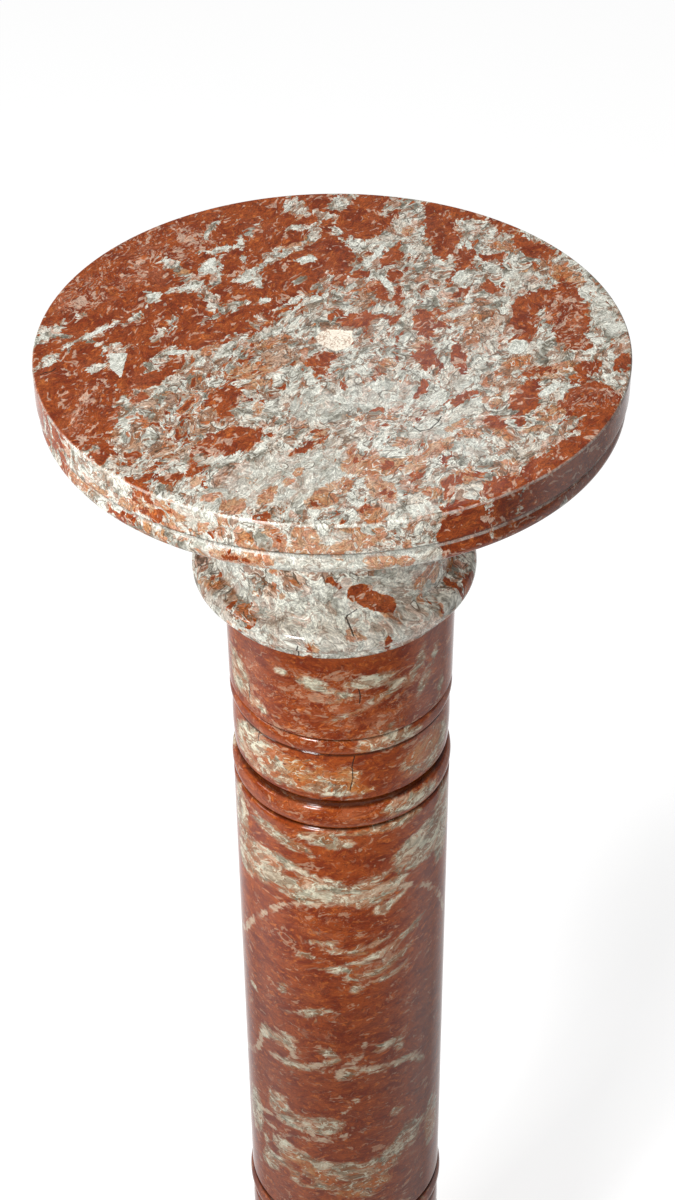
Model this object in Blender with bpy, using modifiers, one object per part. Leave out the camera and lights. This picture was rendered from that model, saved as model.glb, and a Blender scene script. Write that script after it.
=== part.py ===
"""A turned marble column: a round top on a capital, a ringed shaft, a base and a square plinth.

Metres, +Z up. The origin is the centre of the plinth's underside, and the shaft turns about Z.
Each stone is drawn down its outer side, from its upper bed to its lower bed, and turned.
"""

import math

import bmesh
import bpy

COLLECTION_NAME = "marble_column"

# Bedding between the stones. The capital and the top sit off the shaft's axis, towards -X.
BED_GAP = 0.0003
CAPITAL_OFF_CENTRE = 0.003

# How finely the stones are turned, and how many runs draw each kind of curve
TURNING_STEPS = 48
HOLLOW_RUNS = 5
ROUND_RUNS = 3
SMALL_ROUND_RUNS = 2
WELD_DISTANCE = 0.00005
SMOOTH_ANGLE = math.radians(38)

# Round top: a plain fascia, a thin groove and a half round bead under it
TOP_RADIUS = 0.150
TOP_EDGE_ROUNDING = 0.0013
FASCIA_HEIGHT = 0.017
TOP_GROOVE_HEIGHT = 0.0015
TOP_GROOVE_DEPTH = 0.004
TOP_BEAD_HEIGHT = 0.0128
TOP_BEAD_SETBACK = 0.001

# Shaft: the plain length, and the drums above and below the two sets of rings
SHAFT_RADIUS = 0.0621
PLAIN_LENGTH = 0.3576
UPPER_DRUM_HEIGHT = 0.0627
UPPER_DRUM_TAPER = 0.0005
LOWER_DRUM_HEIGHT = 0.064
LOWER_DRUM_TAPER = 0.0016
LOWER_RING_SWELL = 0.0009

# One set of rings, from the drum to the plain length
DRUM_PROJECTION = 0.0002
DRUM_ARRIS = 0.001
RING_GROOVE_DEPTH = 0.0021
RING_GROOVE_HEIGHT = 0.0009
SMALL_BEAD_HEIGHT = 0.0107
SMALL_BEAD_PROJECTION = 0.0002
CUSHION_HEIGHT = 0.0328
CUSHION_RECESS = 0.0013
CUSHION_SWELL = 0.0006
COVE_HEIGHT = 0.0068
COVE_DEPTH = 0.0031
LARGE_BEAD_HEIGHT = 0.0152
LARGE_BEAD_PROJECTION = 0.0005
SHOULDER_ROUNDING = 0.0032

# Capital: a flat fillet under the top, a hollow, a waisted neck, a round rim and a band
CAPITAL_SEAT_SETBACK = 0.058
SEAT_FILLET_HEIGHT = 0.0104
SEAT_FILLET_STEP = 0.003
HOLLOW_HEIGHT = 0.050
NECK_RECESS = 0.0013
NECK_HEIGHT = 0.035
NECK_FLARE = 0.005
NECK_WAIST = 0.0008
SHELF_WIDTH = 0.0062
SHELF_FALL = 0.0025
RIM_PROJECTION = 0.0145
RIM_UPPER_HEIGHT = 0.007
RIM_LOWER_HEIGHT = 0.0048
RIM_UNDERCUT = 0.0025
BAND_PROJECTION = 0.0062
BAND_HEIGHT = 0.0075
BAND_SHADOW_HEIGHT = 0.0012

# Base: a band and a rim like the capital's, a spreading hollow and a heavy round foot
SPREAD_HEIGHT = 0.060
FOOT_FILLET_HEIGHT = 0.007
FOOT_FILLET_SETBACK = 0.016
FOOT_HEIGHT = 0.034
FOOT_BED_HEIGHT = 0.006
FOOT_BED_SETBACK = 0.005

# Plinth
PLINTH_WIDTH = 0.270
PLINTH_HEIGHT = 0.090
PLINTH_CHAMFER = 0.007
PLINTH_ARRIS = 0.0012
FOOT_MARGIN = 0.013

# Colour and gloss of each polished stone
POLISH = 0.14
TOP_COLOUR = (0.50, 0.33, 0.25)
CAPITAL_COLOUR = (0.55, 0.52, 0.45)
SHAFT_COLOUR = (0.40, 0.15, 0.075)
BASE_COLOUR = (0.44, 0.22, 0.14)
PLINTH_COLOUR = (0.42, 0.19, 0.11)


class Profile:
    """The outer side of a turned stone, drawn downwards from the rim of its upper bed."""

    def __init__(self, radius):
        self.points = [(0.0, 0.0), (radius, 0.0)]

    @property
    def depth(self):
        return self.points[-1][1]

    def straight(self, radius, drop=0.0):
        """A straight run to a radius, so much further down."""
        self.points.append((radius, self.depth + drop))

    def ends_plumb(self, radius, drop, runs):
        """A quarter round that leaves level and ends plumb."""
        self._quarter(radius, drop, runs, math.sin, lambda turn: 1 - math.cos(turn))

    def ends_level(self, radius, drop, runs):
        """A quarter round that leaves plumb and ends level."""
        self._quarter(radius, drop, runs, lambda turn: 1 - math.cos(turn), math.sin)

    def bowed(self, radius, drop, rise, runs):
        """A shallow curve that stands out, or in where rise is negative, from the straight run."""
        start_radius, start_depth = self.points[-1]
        for index in range(1, runs + 1):
            share = index / runs
            bow = rise * math.sin(math.pi * share)
            along = start_radius + (radius - start_radius) * share
            self.points.append((along + bow, start_depth + drop * share))

    def follow(self, outline):
        """Adds a drawn outline, whose depths start from zero, below the last point."""
        start_depth = self.depth
        for radius, depth in outline:
            self.points.append((radius, start_depth + depth))

    def _quarter(self, radius, drop, runs, outward, downward):
        start_radius, start_depth = self.points[-1]
        for index in range(1, runs + 1):
            turn = 0.5 * math.pi * index / runs
            self.points.append((
                start_radius + (radius - start_radius) * outward(turn),
                start_depth + drop * downward(turn),
            ))


def top_profile():
    profile = Profile(TOP_RADIUS - TOP_EDGE_ROUNDING)
    profile.ends_plumb(TOP_RADIUS, TOP_EDGE_ROUNDING, SMALL_ROUND_RUNS)
    profile.straight(TOP_RADIUS, FASCIA_HEIGHT - TOP_EDGE_ROUNDING)
    profile.straight(TOP_RADIUS - TOP_GROOVE_DEPTH, TOP_GROOVE_HEIGHT)
    bead_radius = TOP_RADIUS - TOP_BEAD_SETBACK
    bead_half = TOP_BEAD_HEIGHT / 2
    profile.ends_plumb(bead_radius, bead_half, ROUND_RUNS)
    profile.ends_level(bead_radius - bead_half, bead_half, ROUND_RUNS)
    return profile


def ring_outline(swell):
    """One set of rings, from the drum's arris down to where the plain length starts."""
    ring_radius = SHAFT_RADIUS + swell
    drum_radius = ring_radius + DRUM_PROJECTION
    groove_radius = ring_radius - RING_GROOVE_DEPTH
    outline = Profile(drum_radius)
    outline.straight(drum_radius - DRUM_ARRIS, DRUM_ARRIS)
    outline.straight(groove_radius, RING_GROOVE_HEIGHT)
    small_half = SMALL_BEAD_HEIGHT / 2
    outline.ends_plumb(ring_radius + SMALL_BEAD_PROJECTION, small_half, SMALL_ROUND_RUNS)
    outline.ends_level(groove_radius, small_half, SMALL_ROUND_RUNS)
    cushion_radius = ring_radius - CUSHION_RECESS
    outline.straight(cushion_radius, RING_GROOVE_HEIGHT)
    outline.bowed(cushion_radius, CUSHION_HEIGHT, CUSHION_SWELL, ROUND_RUNS)
    outline.bowed(ring_radius - COVE_DEPTH, COVE_HEIGHT, -CUSHION_SWELL, SMALL_ROUND_RUNS)
    large_half = LARGE_BEAD_HEIGHT / 2
    outline.ends_plumb(ring_radius + LARGE_BEAD_PROJECTION, large_half, ROUND_RUNS)
    outline.ends_level(groove_radius, large_half, ROUND_RUNS)
    outline.straight(groove_radius - RING_GROOVE_HEIGHT, RING_GROOVE_HEIGHT)
    outline.ends_plumb(SHAFT_RADIUS, SHOULDER_ROUNDING, SMALL_ROUND_RUNS)
    return outline.points[2:]


def mirrored(outline):
    """The same outline upside down."""
    full_depth = outline[-1][1]
    return [(radius, full_depth - depth) for radius, depth in reversed(outline)]


def shaft_profile():
    upper_drum_radius = SHAFT_RADIUS + DRUM_PROJECTION
    profile = Profile(upper_drum_radius + UPPER_DRUM_TAPER)
    profile.straight(upper_drum_radius, UPPER_DRUM_HEIGHT)
    profile.follow(ring_outline(0.0))
    profile.straight(SHAFT_RADIUS, PLAIN_LENGTH)
    profile.follow(mirrored(ring_outline(LOWER_RING_SWELL))[1:])
    lower_drum_radius = upper_drum_radius + LOWER_RING_SWELL
    profile.straight(lower_drum_radius, DRUM_ARRIS)
    profile.straight(lower_drum_radius + LOWER_DRUM_TAPER, LOWER_DRUM_HEIGHT)
    return profile


def capital_profile():
    seat_radius = TOP_RADIUS - CAPITAL_SEAT_SETBACK
    neck_radius = SHAFT_RADIUS - NECK_RECESS
    crease_radius = neck_radius + NECK_FLARE
    rim_radius = SHAFT_RADIUS + RIM_PROJECTION
    band_radius = SHAFT_RADIUS + BAND_PROJECTION
    profile = Profile(seat_radius)
    profile.straight(seat_radius, SEAT_FILLET_HEIGHT)
    profile.straight(seat_radius - SEAT_FILLET_STEP)
    profile.ends_plumb(neck_radius, HOLLOW_HEIGHT, HOLLOW_RUNS)
    profile.bowed(crease_radius, NECK_HEIGHT, -NECK_WAIST, ROUND_RUNS)
    profile.straight(crease_radius + SHELF_WIDTH, SHELF_FALL)
    profile.ends_plumb(rim_radius, RIM_UPPER_HEIGHT, ROUND_RUNS)
    profile.ends_level(rim_radius - RIM_UNDERCUT, RIM_LOWER_HEIGHT, SMALL_ROUND_RUNS)
    profile.straight(band_radius, BAND_SHADOW_HEIGHT)
    profile.straight(band_radius, BAND_HEIGHT)
    return profile


def base_profile():
    band_radius = SHAFT_RADIUS + LOWER_RING_SWELL + BAND_PROJECTION
    rim_radius = SHAFT_RADIUS + LOWER_RING_SWELL + RIM_PROJECTION
    neck_radius = SHAFT_RADIUS + NECK_FLARE
    foot_radius = PLINTH_WIDTH / 2 - FOOT_MARGIN
    foot_half = FOOT_HEIGHT / 2
    profile = Profile(band_radius)
    profile.straight(band_radius, BAND_HEIGHT)
    profile.straight(rim_radius - RIM_UNDERCUT, BAND_SHADOW_HEIGHT)
    profile.ends_plumb(rim_radius, RIM_LOWER_HEIGHT, SMALL_ROUND_RUNS)
    profile.ends_level(neck_radius + SHELF_WIDTH, RIM_UPPER_HEIGHT, ROUND_RUNS)
    profile.straight(neck_radius, SHELF_FALL)
    fillet_radius = foot_radius - FOOT_FILLET_SETBACK
    profile.ends_level(fillet_radius - SEAT_FILLET_STEP, SPREAD_HEIGHT, HOLLOW_RUNS)
    profile.straight(fillet_radius)
    profile.straight(fillet_radius, FOOT_FILLET_HEIGHT)
    profile.ends_plumb(foot_radius, foot_half, ROUND_RUNS)
    profile.ends_level(foot_radius - FOOT_BED_SETBACK, foot_half, ROUND_RUNS)
    profile.straight(foot_radius - FOOT_BED_SETBACK, FOOT_BED_HEIGHT)
    return profile


def polished_stone(name, colour):
    material = bpy.data.materials.new(name)
    material.use_nodes = True
    shader = material.node_tree.nodes["Principled BSDF"]
    shader.inputs["Base Color"].default_value = (*colour, 1.0)
    shader.inputs["Roughness"].default_value = POLISH
    shader.inputs["Metallic"].default_value = 0.0
    material.diffuse_color = (*colour, 1.0)
    return material


def turned_stone(collection, name, profile, bed, colour):
    """A stone turned from its profile, standing with the centre of its lower bed at a point."""
    full_height = profile.depth
    outline = profile.points + [(0.0, full_height)]
    vertices = [(radius, 0.0, full_height - depth) for radius, depth in outline]
    edges = [(index, index + 1) for index in range(len(vertices) - 1)]
    mesh = bpy.data.meshes.new(name)
    mesh.from_pydata(vertices, edges, [])
    stone = bpy.data.objects.new(name, mesh)
    stone.location = bed
    mesh.materials.append(polished_stone(name + "_marble", colour))
    collection.objects.link(stone)
    screw = stone.modifiers.new("Turning", "SCREW")
    screw.axis = "Z"
    screw.angle = math.tau
    screw.steps = TURNING_STEPS
    screw.render_steps = TURNING_STEPS
    screw.use_merge_vertices = True
    screw.merge_threshold = WELD_DISTANCE
    screw.use_smooth_shade = True
    make_turned_mesh_real(stone)
    return stone


def make_turned_mesh_real(stone):
    """Applies the turning, so that the mesh can carry its sharp arrises."""
    depsgraph = bpy.context.evaluated_depsgraph_get()
    turned = bpy.data.meshes.new_from_object(stone.evaluated_get(depsgraph))
    profile_mesh = stone.data
    stone.modifiers.clear()
    stone.data = turned
    bpy.data.meshes.remove(profile_mesh)
    turned.name = stone.name
    turned.shade_smooth()
    turned.set_sharp_from_angle(angle=SMOOTH_ANGLE)


def plinth_block(collection, name):
    """A square block whose upper edges are chamfered, with its underside at zero."""
    mesh = bpy.data.meshes.new(name)
    shape = bmesh.new()
    bmesh.ops.create_cube(shape, size=1.0)
    for vertex in shape.verts:
        vertex.co.x *= PLINTH_WIDTH
        vertex.co.y *= PLINTH_WIDTH
        vertex.co.z = (vertex.co.z + 0.5) * PLINTH_HEIGHT
    upper_edges = [
        edge for edge in shape.edges if all(vertex.co.z > PLINTH_HEIGHT / 2 for vertex in edge.verts)
    ]
    bmesh.ops.bevel(
        shape, geom=upper_edges, offset=PLINTH_CHAMFER, segments=1, affect="EDGES", clamp_overlap=True
    )
    shape.to_mesh(mesh)
    shape.free()
    block = bpy.data.objects.new(name, mesh)
    mesh.materials.append(polished_stone(name + "_marble", PLINTH_COLOUR))
    collection.objects.link(block)
    arris = block.modifiers.new("Arris", "BEVEL")
    arris.width = PLINTH_ARRIS
    arris.segments = 2
    arris.limit_method = "ANGLE"
    mesh.shade_smooth()
    mesh.set_sharp_from_angle(angle=SMOOTH_ANGLE)
    return block


def build():
    for old_object in list(bpy.data.objects):
        bpy.data.objects.remove(old_object, do_unlink=True)
    collection = bpy.data.collections.new(COLLECTION_NAME)
    bpy.context.scene.collection.children.link(collection)
    plinth_block(collection, "plinth")
    bed_height = PLINTH_HEIGHT
    stones = (
        ("base", base_profile(), 0.0, BASE_COLOUR),
        ("shaft", shaft_profile(), 0.0, SHAFT_COLOUR),
        ("capital", capital_profile(), -CAPITAL_OFF_CENTRE, CAPITAL_COLOUR),
        ("top", top_profile(), -CAPITAL_OFF_CENTRE, TOP_COLOUR),
    )
    for name, profile, axis_x, colour in stones:
        bed_height += BED_GAP
        turned_stone(collection, name, profile, (axis_x, 0.0, bed_height), colour)
        bed_height += profile.depth


build()
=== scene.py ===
"""The looks of the marble column: finely turned stones of red and white fossil marble.

Metres, +Z up, in the frame's place. The colours lie in patches, measured in millimetres: on the
slab's face by plan, and on the turned sides by the angle round from the front and the height.
The patches are painted on the vertices as smooth fields, and the marble's noise breaks them up.
"""

import math

import bmesh
import bpy
import numpy as np
from mathutils import Matrix, Vector, noise


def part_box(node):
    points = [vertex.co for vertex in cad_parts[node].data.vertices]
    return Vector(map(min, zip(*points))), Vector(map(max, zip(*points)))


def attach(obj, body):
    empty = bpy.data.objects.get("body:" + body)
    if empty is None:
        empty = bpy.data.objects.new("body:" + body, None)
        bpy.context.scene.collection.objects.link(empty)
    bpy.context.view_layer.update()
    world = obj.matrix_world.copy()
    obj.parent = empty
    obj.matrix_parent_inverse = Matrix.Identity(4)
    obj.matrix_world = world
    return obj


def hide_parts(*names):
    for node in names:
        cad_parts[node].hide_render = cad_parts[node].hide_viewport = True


MM = 0.001
TINY = 1e-12

# Fineness of the turned meshes
SHAFT_STEPS = 240
CAPITAL_STEPS = 288
BASE_STEPS = 288
TOP_CELL = 1.0 * MM
TOP_RIM_STEPS = 720
STEPS_PER_RADIUS = 6
FILL_CELL = 0.5 * MM
FILL_REACH = 14.5 * MM
CURVE_RUNS = 10
SMALL_CURVE_RUNS = 6
ARRIS_RUNS = 3
ARRIS_ROUNDING = 0.0004
ARRIS_SHARE = 0.4
SHARP_TURN = math.radians(24)
LONGEST_RUN = 0.0024
BED_RING_SHARE = 0.5
UNDERSIDE_RINGS = ((0.9, 360), (0.75, 180), (0.5, 90))
PLINTH_ARRIS_RUNS = 4
PLINTH_CUTS = 11
PLINTH_LONG_EDGE = 0.05
PLINTH_SMOOTH_ANGLE = math.radians(38)

# Round top
TOP_RADIUS = 0.150
TOP_EDGE_ROUNDING = 0.0013
FASCIA_HEIGHT = 0.017
TOP_GROOVE_HEIGHT = 0.0015
TOP_GROOVE_DEPTH = 0.004
TOP_BEAD_HEIGHT = 0.0128
TOP_BEAD_SETBACK = 0.001

# Shaft
SHAFT_RADIUS = 0.0621
PLAIN_LENGTH = 0.3576
UPPER_DRUM_HEIGHT = 0.0627
UPPER_DRUM_TAPER = 0.0005
LOWER_DRUM_HEIGHT = 0.064
LOWER_DRUM_TAPER = 0.0016
LOWER_RING_SWELL = 0.0009

# One set of rings
DRUM_PROJECTION = 0.0002
DRUM_ARRIS = 0.001
RING_GROOVE_DEPTH = 0.0021
RING_GROOVE_HEIGHT = 0.0009
SMALL_BEAD_HEIGHT = 0.0107
SMALL_BEAD_PROJECTION = 0.0002
CUSHION_HEIGHT = 0.0328
CUSHION_RECESS = 0.0013
CUSHION_SWELL = 0.0006
COVE_HEIGHT = 0.0068
COVE_DEPTH = 0.0031
LARGE_BEAD_HEIGHT = 0.0152
LARGE_BEAD_PROJECTION = 0.0005
SHOULDER_ROUNDING = 0.0032

# Capital
CAPITAL_SEAT_SETBACK = 0.058
SEAT_FILLET_HEIGHT = 0.0104
SEAT_FILLET_STEP = 0.003
HOLLOW_HEIGHT = 0.050
NECK_RECESS = 0.0013
NECK_HEIGHT = 0.035
NECK_FLARE = 0.005
NECK_WAIST = 0.0008
SHELF_WIDTH = 0.0062
SHELF_FALL = 0.0025
RIM_PROJECTION = 0.0145
RIM_UPPER_HEIGHT = 0.007
RIM_LOWER_HEIGHT = 0.0048
RIM_UNDERCUT = 0.0025
BAND_PROJECTION = 0.0062
BAND_HEIGHT = 0.0075
BAND_SHADOW_HEIGHT = 0.0012

# Base and plinth
SPREAD_HEIGHT = 0.060
FOOT_FILLET_HEIGHT = 0.007
FOOT_FILLET_SETBACK = 0.016
FOOT_HEIGHT = 0.034
FOOT_BED_HEIGHT = 0.006
FOOT_BED_SETBACK = 0.005
PLINTH_CHAMFER = 0.007
PLINTH_ARRIS = 0.0012
FOOT_MARGIN = 0.013


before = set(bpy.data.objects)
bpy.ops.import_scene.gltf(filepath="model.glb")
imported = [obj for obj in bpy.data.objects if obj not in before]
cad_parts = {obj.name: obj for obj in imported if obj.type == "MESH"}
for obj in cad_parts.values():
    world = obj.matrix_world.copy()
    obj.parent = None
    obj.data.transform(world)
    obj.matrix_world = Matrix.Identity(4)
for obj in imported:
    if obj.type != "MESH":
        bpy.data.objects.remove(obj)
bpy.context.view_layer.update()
NODE_BOXES = {name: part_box(name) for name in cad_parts}


def linked(name, data):
    """A new object in the scene that shows the data."""
    made = bpy.data.objects.new(name, data)
    bpy.context.scene.collection.objects.link(made)
    return made


class Profile:
    """The outer side of a turned stone, drawn downwards from the rim of its upper bed."""

    def __init__(self, radius):
        self.points = [(radius, 0.0)]

    @property
    def depth(self):
        return self.points[-1][1]

    def straight(self, radius, drop=0.0):
        self.points.append((radius, self.depth + drop))

    def ends_plumb(self, radius, drop, runs=CURVE_RUNS):
        """A quarter round that leaves level and ends plumb."""
        self._quarter(radius, drop, runs, math.sin, lambda turn: 1 - math.cos(turn))

    def ends_level(self, radius, drop, runs=CURVE_RUNS):
        """A quarter round that leaves plumb and ends level."""
        self._quarter(radius, drop, runs, lambda turn: 1 - math.cos(turn), math.sin)

    def bowed(self, radius, drop, rise, runs=CURVE_RUNS):
        """A shallow curve that stands out, or in where rise is negative, from the straight run."""
        start_radius, start_depth = self.points[-1]
        for index in range(1, runs + 1):
            share = index / runs
            bow = rise * math.sin(math.pi * share)
            along = start_radius + (radius - start_radius) * share
            self.points.append((along + bow, start_depth + drop * share))

    def follow(self, outline):
        """Adds a drawn outline, whose depths start from zero, below the last point."""
        start_depth = self.depth
        for radius, depth in outline:
            self.points.append((radius, start_depth + depth))

    def _quarter(self, radius, drop, runs, outward, downward):
        start_radius, start_depth = self.points[-1]
        for index in range(1, runs + 1):
            turn = 0.5 * math.pi * index / runs
            self.points.append((
                start_radius + (radius - start_radius) * outward(turn),
                start_depth + drop * downward(turn),
            ))


def top_profile():
    profile = Profile(TOP_RADIUS - TOP_EDGE_ROUNDING)
    profile.ends_plumb(TOP_RADIUS, TOP_EDGE_ROUNDING, SMALL_CURVE_RUNS)
    profile.straight(TOP_RADIUS, FASCIA_HEIGHT - TOP_EDGE_ROUNDING)
    profile.straight(TOP_RADIUS - TOP_GROOVE_DEPTH, TOP_GROOVE_HEIGHT)
    bead_radius = TOP_RADIUS - TOP_BEAD_SETBACK
    bead_half = TOP_BEAD_HEIGHT / 2
    profile.ends_plumb(bead_radius, bead_half)
    profile.ends_level(bead_radius - bead_half, bead_half)
    return profile


def ring_outline(swell):
    """One set of rings, from the drum's arris down to where the plain length starts."""
    ring_radius = SHAFT_RADIUS + swell
    drum_radius = ring_radius + DRUM_PROJECTION
    groove_radius = ring_radius - RING_GROOVE_DEPTH
    outline = Profile(drum_radius)
    outline.straight(drum_radius - DRUM_ARRIS, DRUM_ARRIS)
    outline.straight(groove_radius, RING_GROOVE_HEIGHT)
    small_half = SMALL_BEAD_HEIGHT / 2
    outline.ends_plumb(ring_radius + SMALL_BEAD_PROJECTION, small_half, SMALL_CURVE_RUNS)
    outline.ends_level(groove_radius, small_half, SMALL_CURVE_RUNS)
    cushion_radius = ring_radius - CUSHION_RECESS
    outline.straight(cushion_radius, RING_GROOVE_HEIGHT)
    outline.bowed(cushion_radius, CUSHION_HEIGHT, CUSHION_SWELL)
    outline.bowed(ring_radius - COVE_DEPTH, COVE_HEIGHT, -CUSHION_SWELL, SMALL_CURVE_RUNS)
    large_half = LARGE_BEAD_HEIGHT / 2
    outline.ends_plumb(ring_radius + LARGE_BEAD_PROJECTION, large_half)
    outline.ends_level(groove_radius, large_half)
    outline.straight(groove_radius - RING_GROOVE_HEIGHT, RING_GROOVE_HEIGHT)
    outline.ends_plumb(SHAFT_RADIUS, SHOULDER_ROUNDING, SMALL_CURVE_RUNS)
    return outline.points[1:]


def mirrored(outline):
    """The same outline upside down."""
    full_depth = outline[-1][1]
    return [(radius, full_depth - depth) for radius, depth in reversed(outline)]


def shaft_profile():
    upper_drum_radius = SHAFT_RADIUS + DRUM_PROJECTION
    profile = Profile(upper_drum_radius + UPPER_DRUM_TAPER)
    profile.straight(upper_drum_radius, UPPER_DRUM_HEIGHT)
    profile.follow(ring_outline(0.0))
    profile.straight(SHAFT_RADIUS, PLAIN_LENGTH)
    profile.follow(mirrored(ring_outline(LOWER_RING_SWELL))[1:])
    lower_drum_radius = upper_drum_radius + LOWER_RING_SWELL
    profile.straight(lower_drum_radius, DRUM_ARRIS)
    profile.straight(lower_drum_radius + LOWER_DRUM_TAPER, LOWER_DRUM_HEIGHT)
    return profile


def capital_profile():
    seat_radius = TOP_RADIUS - CAPITAL_SEAT_SETBACK
    neck_radius = SHAFT_RADIUS - NECK_RECESS
    crease_radius = neck_radius + NECK_FLARE
    rim_radius = SHAFT_RADIUS + RIM_PROJECTION
    band_radius = SHAFT_RADIUS + BAND_PROJECTION
    profile = Profile(seat_radius)
    profile.straight(seat_radius, SEAT_FILLET_HEIGHT)
    profile.straight(seat_radius - SEAT_FILLET_STEP)
    profile.ends_plumb(neck_radius, HOLLOW_HEIGHT, 2 * CURVE_RUNS)
    profile.bowed(crease_radius, NECK_HEIGHT, -NECK_WAIST, 2 * CURVE_RUNS)
    profile.straight(crease_radius + SHELF_WIDTH, SHELF_FALL)
    profile.ends_plumb(rim_radius, RIM_UPPER_HEIGHT)
    profile.ends_level(rim_radius - RIM_UNDERCUT, RIM_LOWER_HEIGHT, SMALL_CURVE_RUNS)
    profile.straight(band_radius, BAND_SHADOW_HEIGHT)
    profile.straight(band_radius, BAND_HEIGHT)
    return profile


def base_profile():
    band_radius = SHAFT_RADIUS + LOWER_RING_SWELL + BAND_PROJECTION
    rim_radius = SHAFT_RADIUS + LOWER_RING_SWELL + RIM_PROJECTION
    neck_radius = SHAFT_RADIUS + NECK_FLARE
    plinth_low, plinth_high = NODE_BOXES["plinth"]
    foot_radius = (plinth_high.x - plinth_low.x) / 2 - FOOT_MARGIN
    foot_half = FOOT_HEIGHT / 2
    profile = Profile(band_radius)
    profile.straight(band_radius, BAND_HEIGHT)
    profile.straight(rim_radius - RIM_UNDERCUT, BAND_SHADOW_HEIGHT)
    profile.ends_plumb(rim_radius, RIM_LOWER_HEIGHT, SMALL_CURVE_RUNS)
    profile.ends_level(neck_radius + SHELF_WIDTH, RIM_UPPER_HEIGHT)
    profile.straight(neck_radius, SHELF_FALL)
    fillet_radius = foot_radius - FOOT_FILLET_SETBACK
    profile.ends_level(fillet_radius - SEAT_FILLET_STEP, SPREAD_HEIGHT, 2 * CURVE_RUNS)
    profile.straight(fillet_radius)
    profile.straight(fillet_radius, FOOT_FILLET_HEIGHT)
    profile.ends_plumb(foot_radius, foot_half)
    profile.ends_level(foot_radius - FOOT_BED_SETBACK, foot_half)
    profile.straight(foot_radius - FOOT_BED_SETBACK, FOOT_BED_HEIGHT)
    return profile


def softened(points, rounding):
    """The outline with each sharp corner turned into a short arc."""
    outline = [np.array(points[0])]
    for before, corner, after in zip(points, points[1:], points[2:]):
        corner = np.array(corner)
        back = np.array(before) - corner
        onward = np.array(after) - corner
        back_length = np.linalg.norm(back)
        onward_length = np.linalg.norm(onward)
        cosine = np.dot(back, onward) / max(back_length * onward_length, TINY)
        turn = math.pi - math.acos(max(-1.0, min(1.0, cosine)))
        if turn < SHARP_TURN:
            outline.append(corner)
            continue
        reach = min(rounding, ARRIS_SHARE * back_length, ARRIS_SHARE * onward_length)
        start = corner + back / back_length * reach
        end = corner + onward / onward_length * reach
        for share in np.linspace(0.0, 1.0, ARRIS_RUNS + 1):
            rest = 1 - share
            outline.append(rest ** 2 * start + 2 * share * rest * corner + share ** 2 * end)
    outline.append(np.array(points[-1]))
    return outline


def filled_in(outline, longest):
    """The outline with long runs split, so that the mesh can carry patches of colour."""
    points = [outline[0]]
    for start, end in zip(outline, outline[1:]):
        runs = max(1, math.ceil(np.linalg.norm(end - start) / longest))
        for index in range(1, runs + 1):
            points.append(start + (end - start) * index / runs)
    return points


class MeshRings:
    """A closed mesh built ring by ring round one axis, from the top centre to the bottom centre."""

    def __init__(self, axis_x, top_z):
        self.axis_x = axis_x
        self.top_z = top_z
        self.vertices = []
        self.faces = []
        self.last = []

    def centre(self, depth):
        self.vertices.append((self.axis_x, 0.0, self.top_z - depth))
        self._join([len(self.vertices) - 1])

    def ring(self, radius, depth, steps):
        start = len(self.vertices)
        for index in range(steps):
            turn = math.tau * index / steps
            self.vertices.append((
                self.axis_x + radius * math.cos(turn),
                radius * math.sin(turn),
                self.top_z - depth,
            ))
        self._join(list(range(start, start + steps)))

    def _join(self, ring):
        """Joins a new ring to the last one, which may have another number of points."""
        upper, self.last = self.last, ring
        if not upper:
            return
        if len(upper) == len(ring):
            for index in range(len(ring)):
                after = (index + 1) % len(ring)
                self.faces.append((upper[index], ring[index], ring[after], upper[after]))
            return
        upper_index = lower_index = 0
        upper_count = len(upper) if len(upper) > 1 else 0
        lower_count = len(ring) if len(ring) > 1 else 0
        while upper_index < upper_count or lower_index < lower_count:
            upper_turn = (upper_index + 1) / upper_count if upper_count else math.inf
            lower_turn = (lower_index + 1) / lower_count if lower_count else math.inf
            above = upper[upper_index % len(upper)]
            below = ring[lower_index % len(ring)]
            if lower_index < lower_count and (lower_turn <= upper_turn or upper_index >= upper_count):
                lower_index += 1
                self.faces.append((above, below, ring[lower_index % len(ring)]))
            else:
                upper_index += 1
                self.faces.append((above, below, upper[upper_index % len(upper)]))

    def make(self, name):
        mesh = bpy.data.meshes.new(name)
        mesh.from_pydata(self.vertices, [], self.faces)
        mesh.shade_smooth()
        return linked(name, mesh)


def node_axis(node):
    low, high = NODE_BOXES[node]
    return (low.x + high.x) / 2


def turned_piece(name, node, profile, steps):
    """A stone turned finely, in the place of its node, with closed flat beds."""
    rings = MeshRings(node_axis(node), NODE_BOXES[node][1].z)
    outline = filled_in(softened(profile.points, ARRIS_ROUNDING), LONGEST_RUN)
    rings.centre(0.0)
    rings.ring(outline[0][0] * BED_RING_SHARE, 0.0, steps)
    for radius, depth in outline:
        rings.ring(radius, depth, steps)
    rings.ring(outline[-1][0] * BED_RING_SHARE, outline[-1][1], steps)
    rings.centre(outline[-1][1])
    return rings.make(name)


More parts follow.
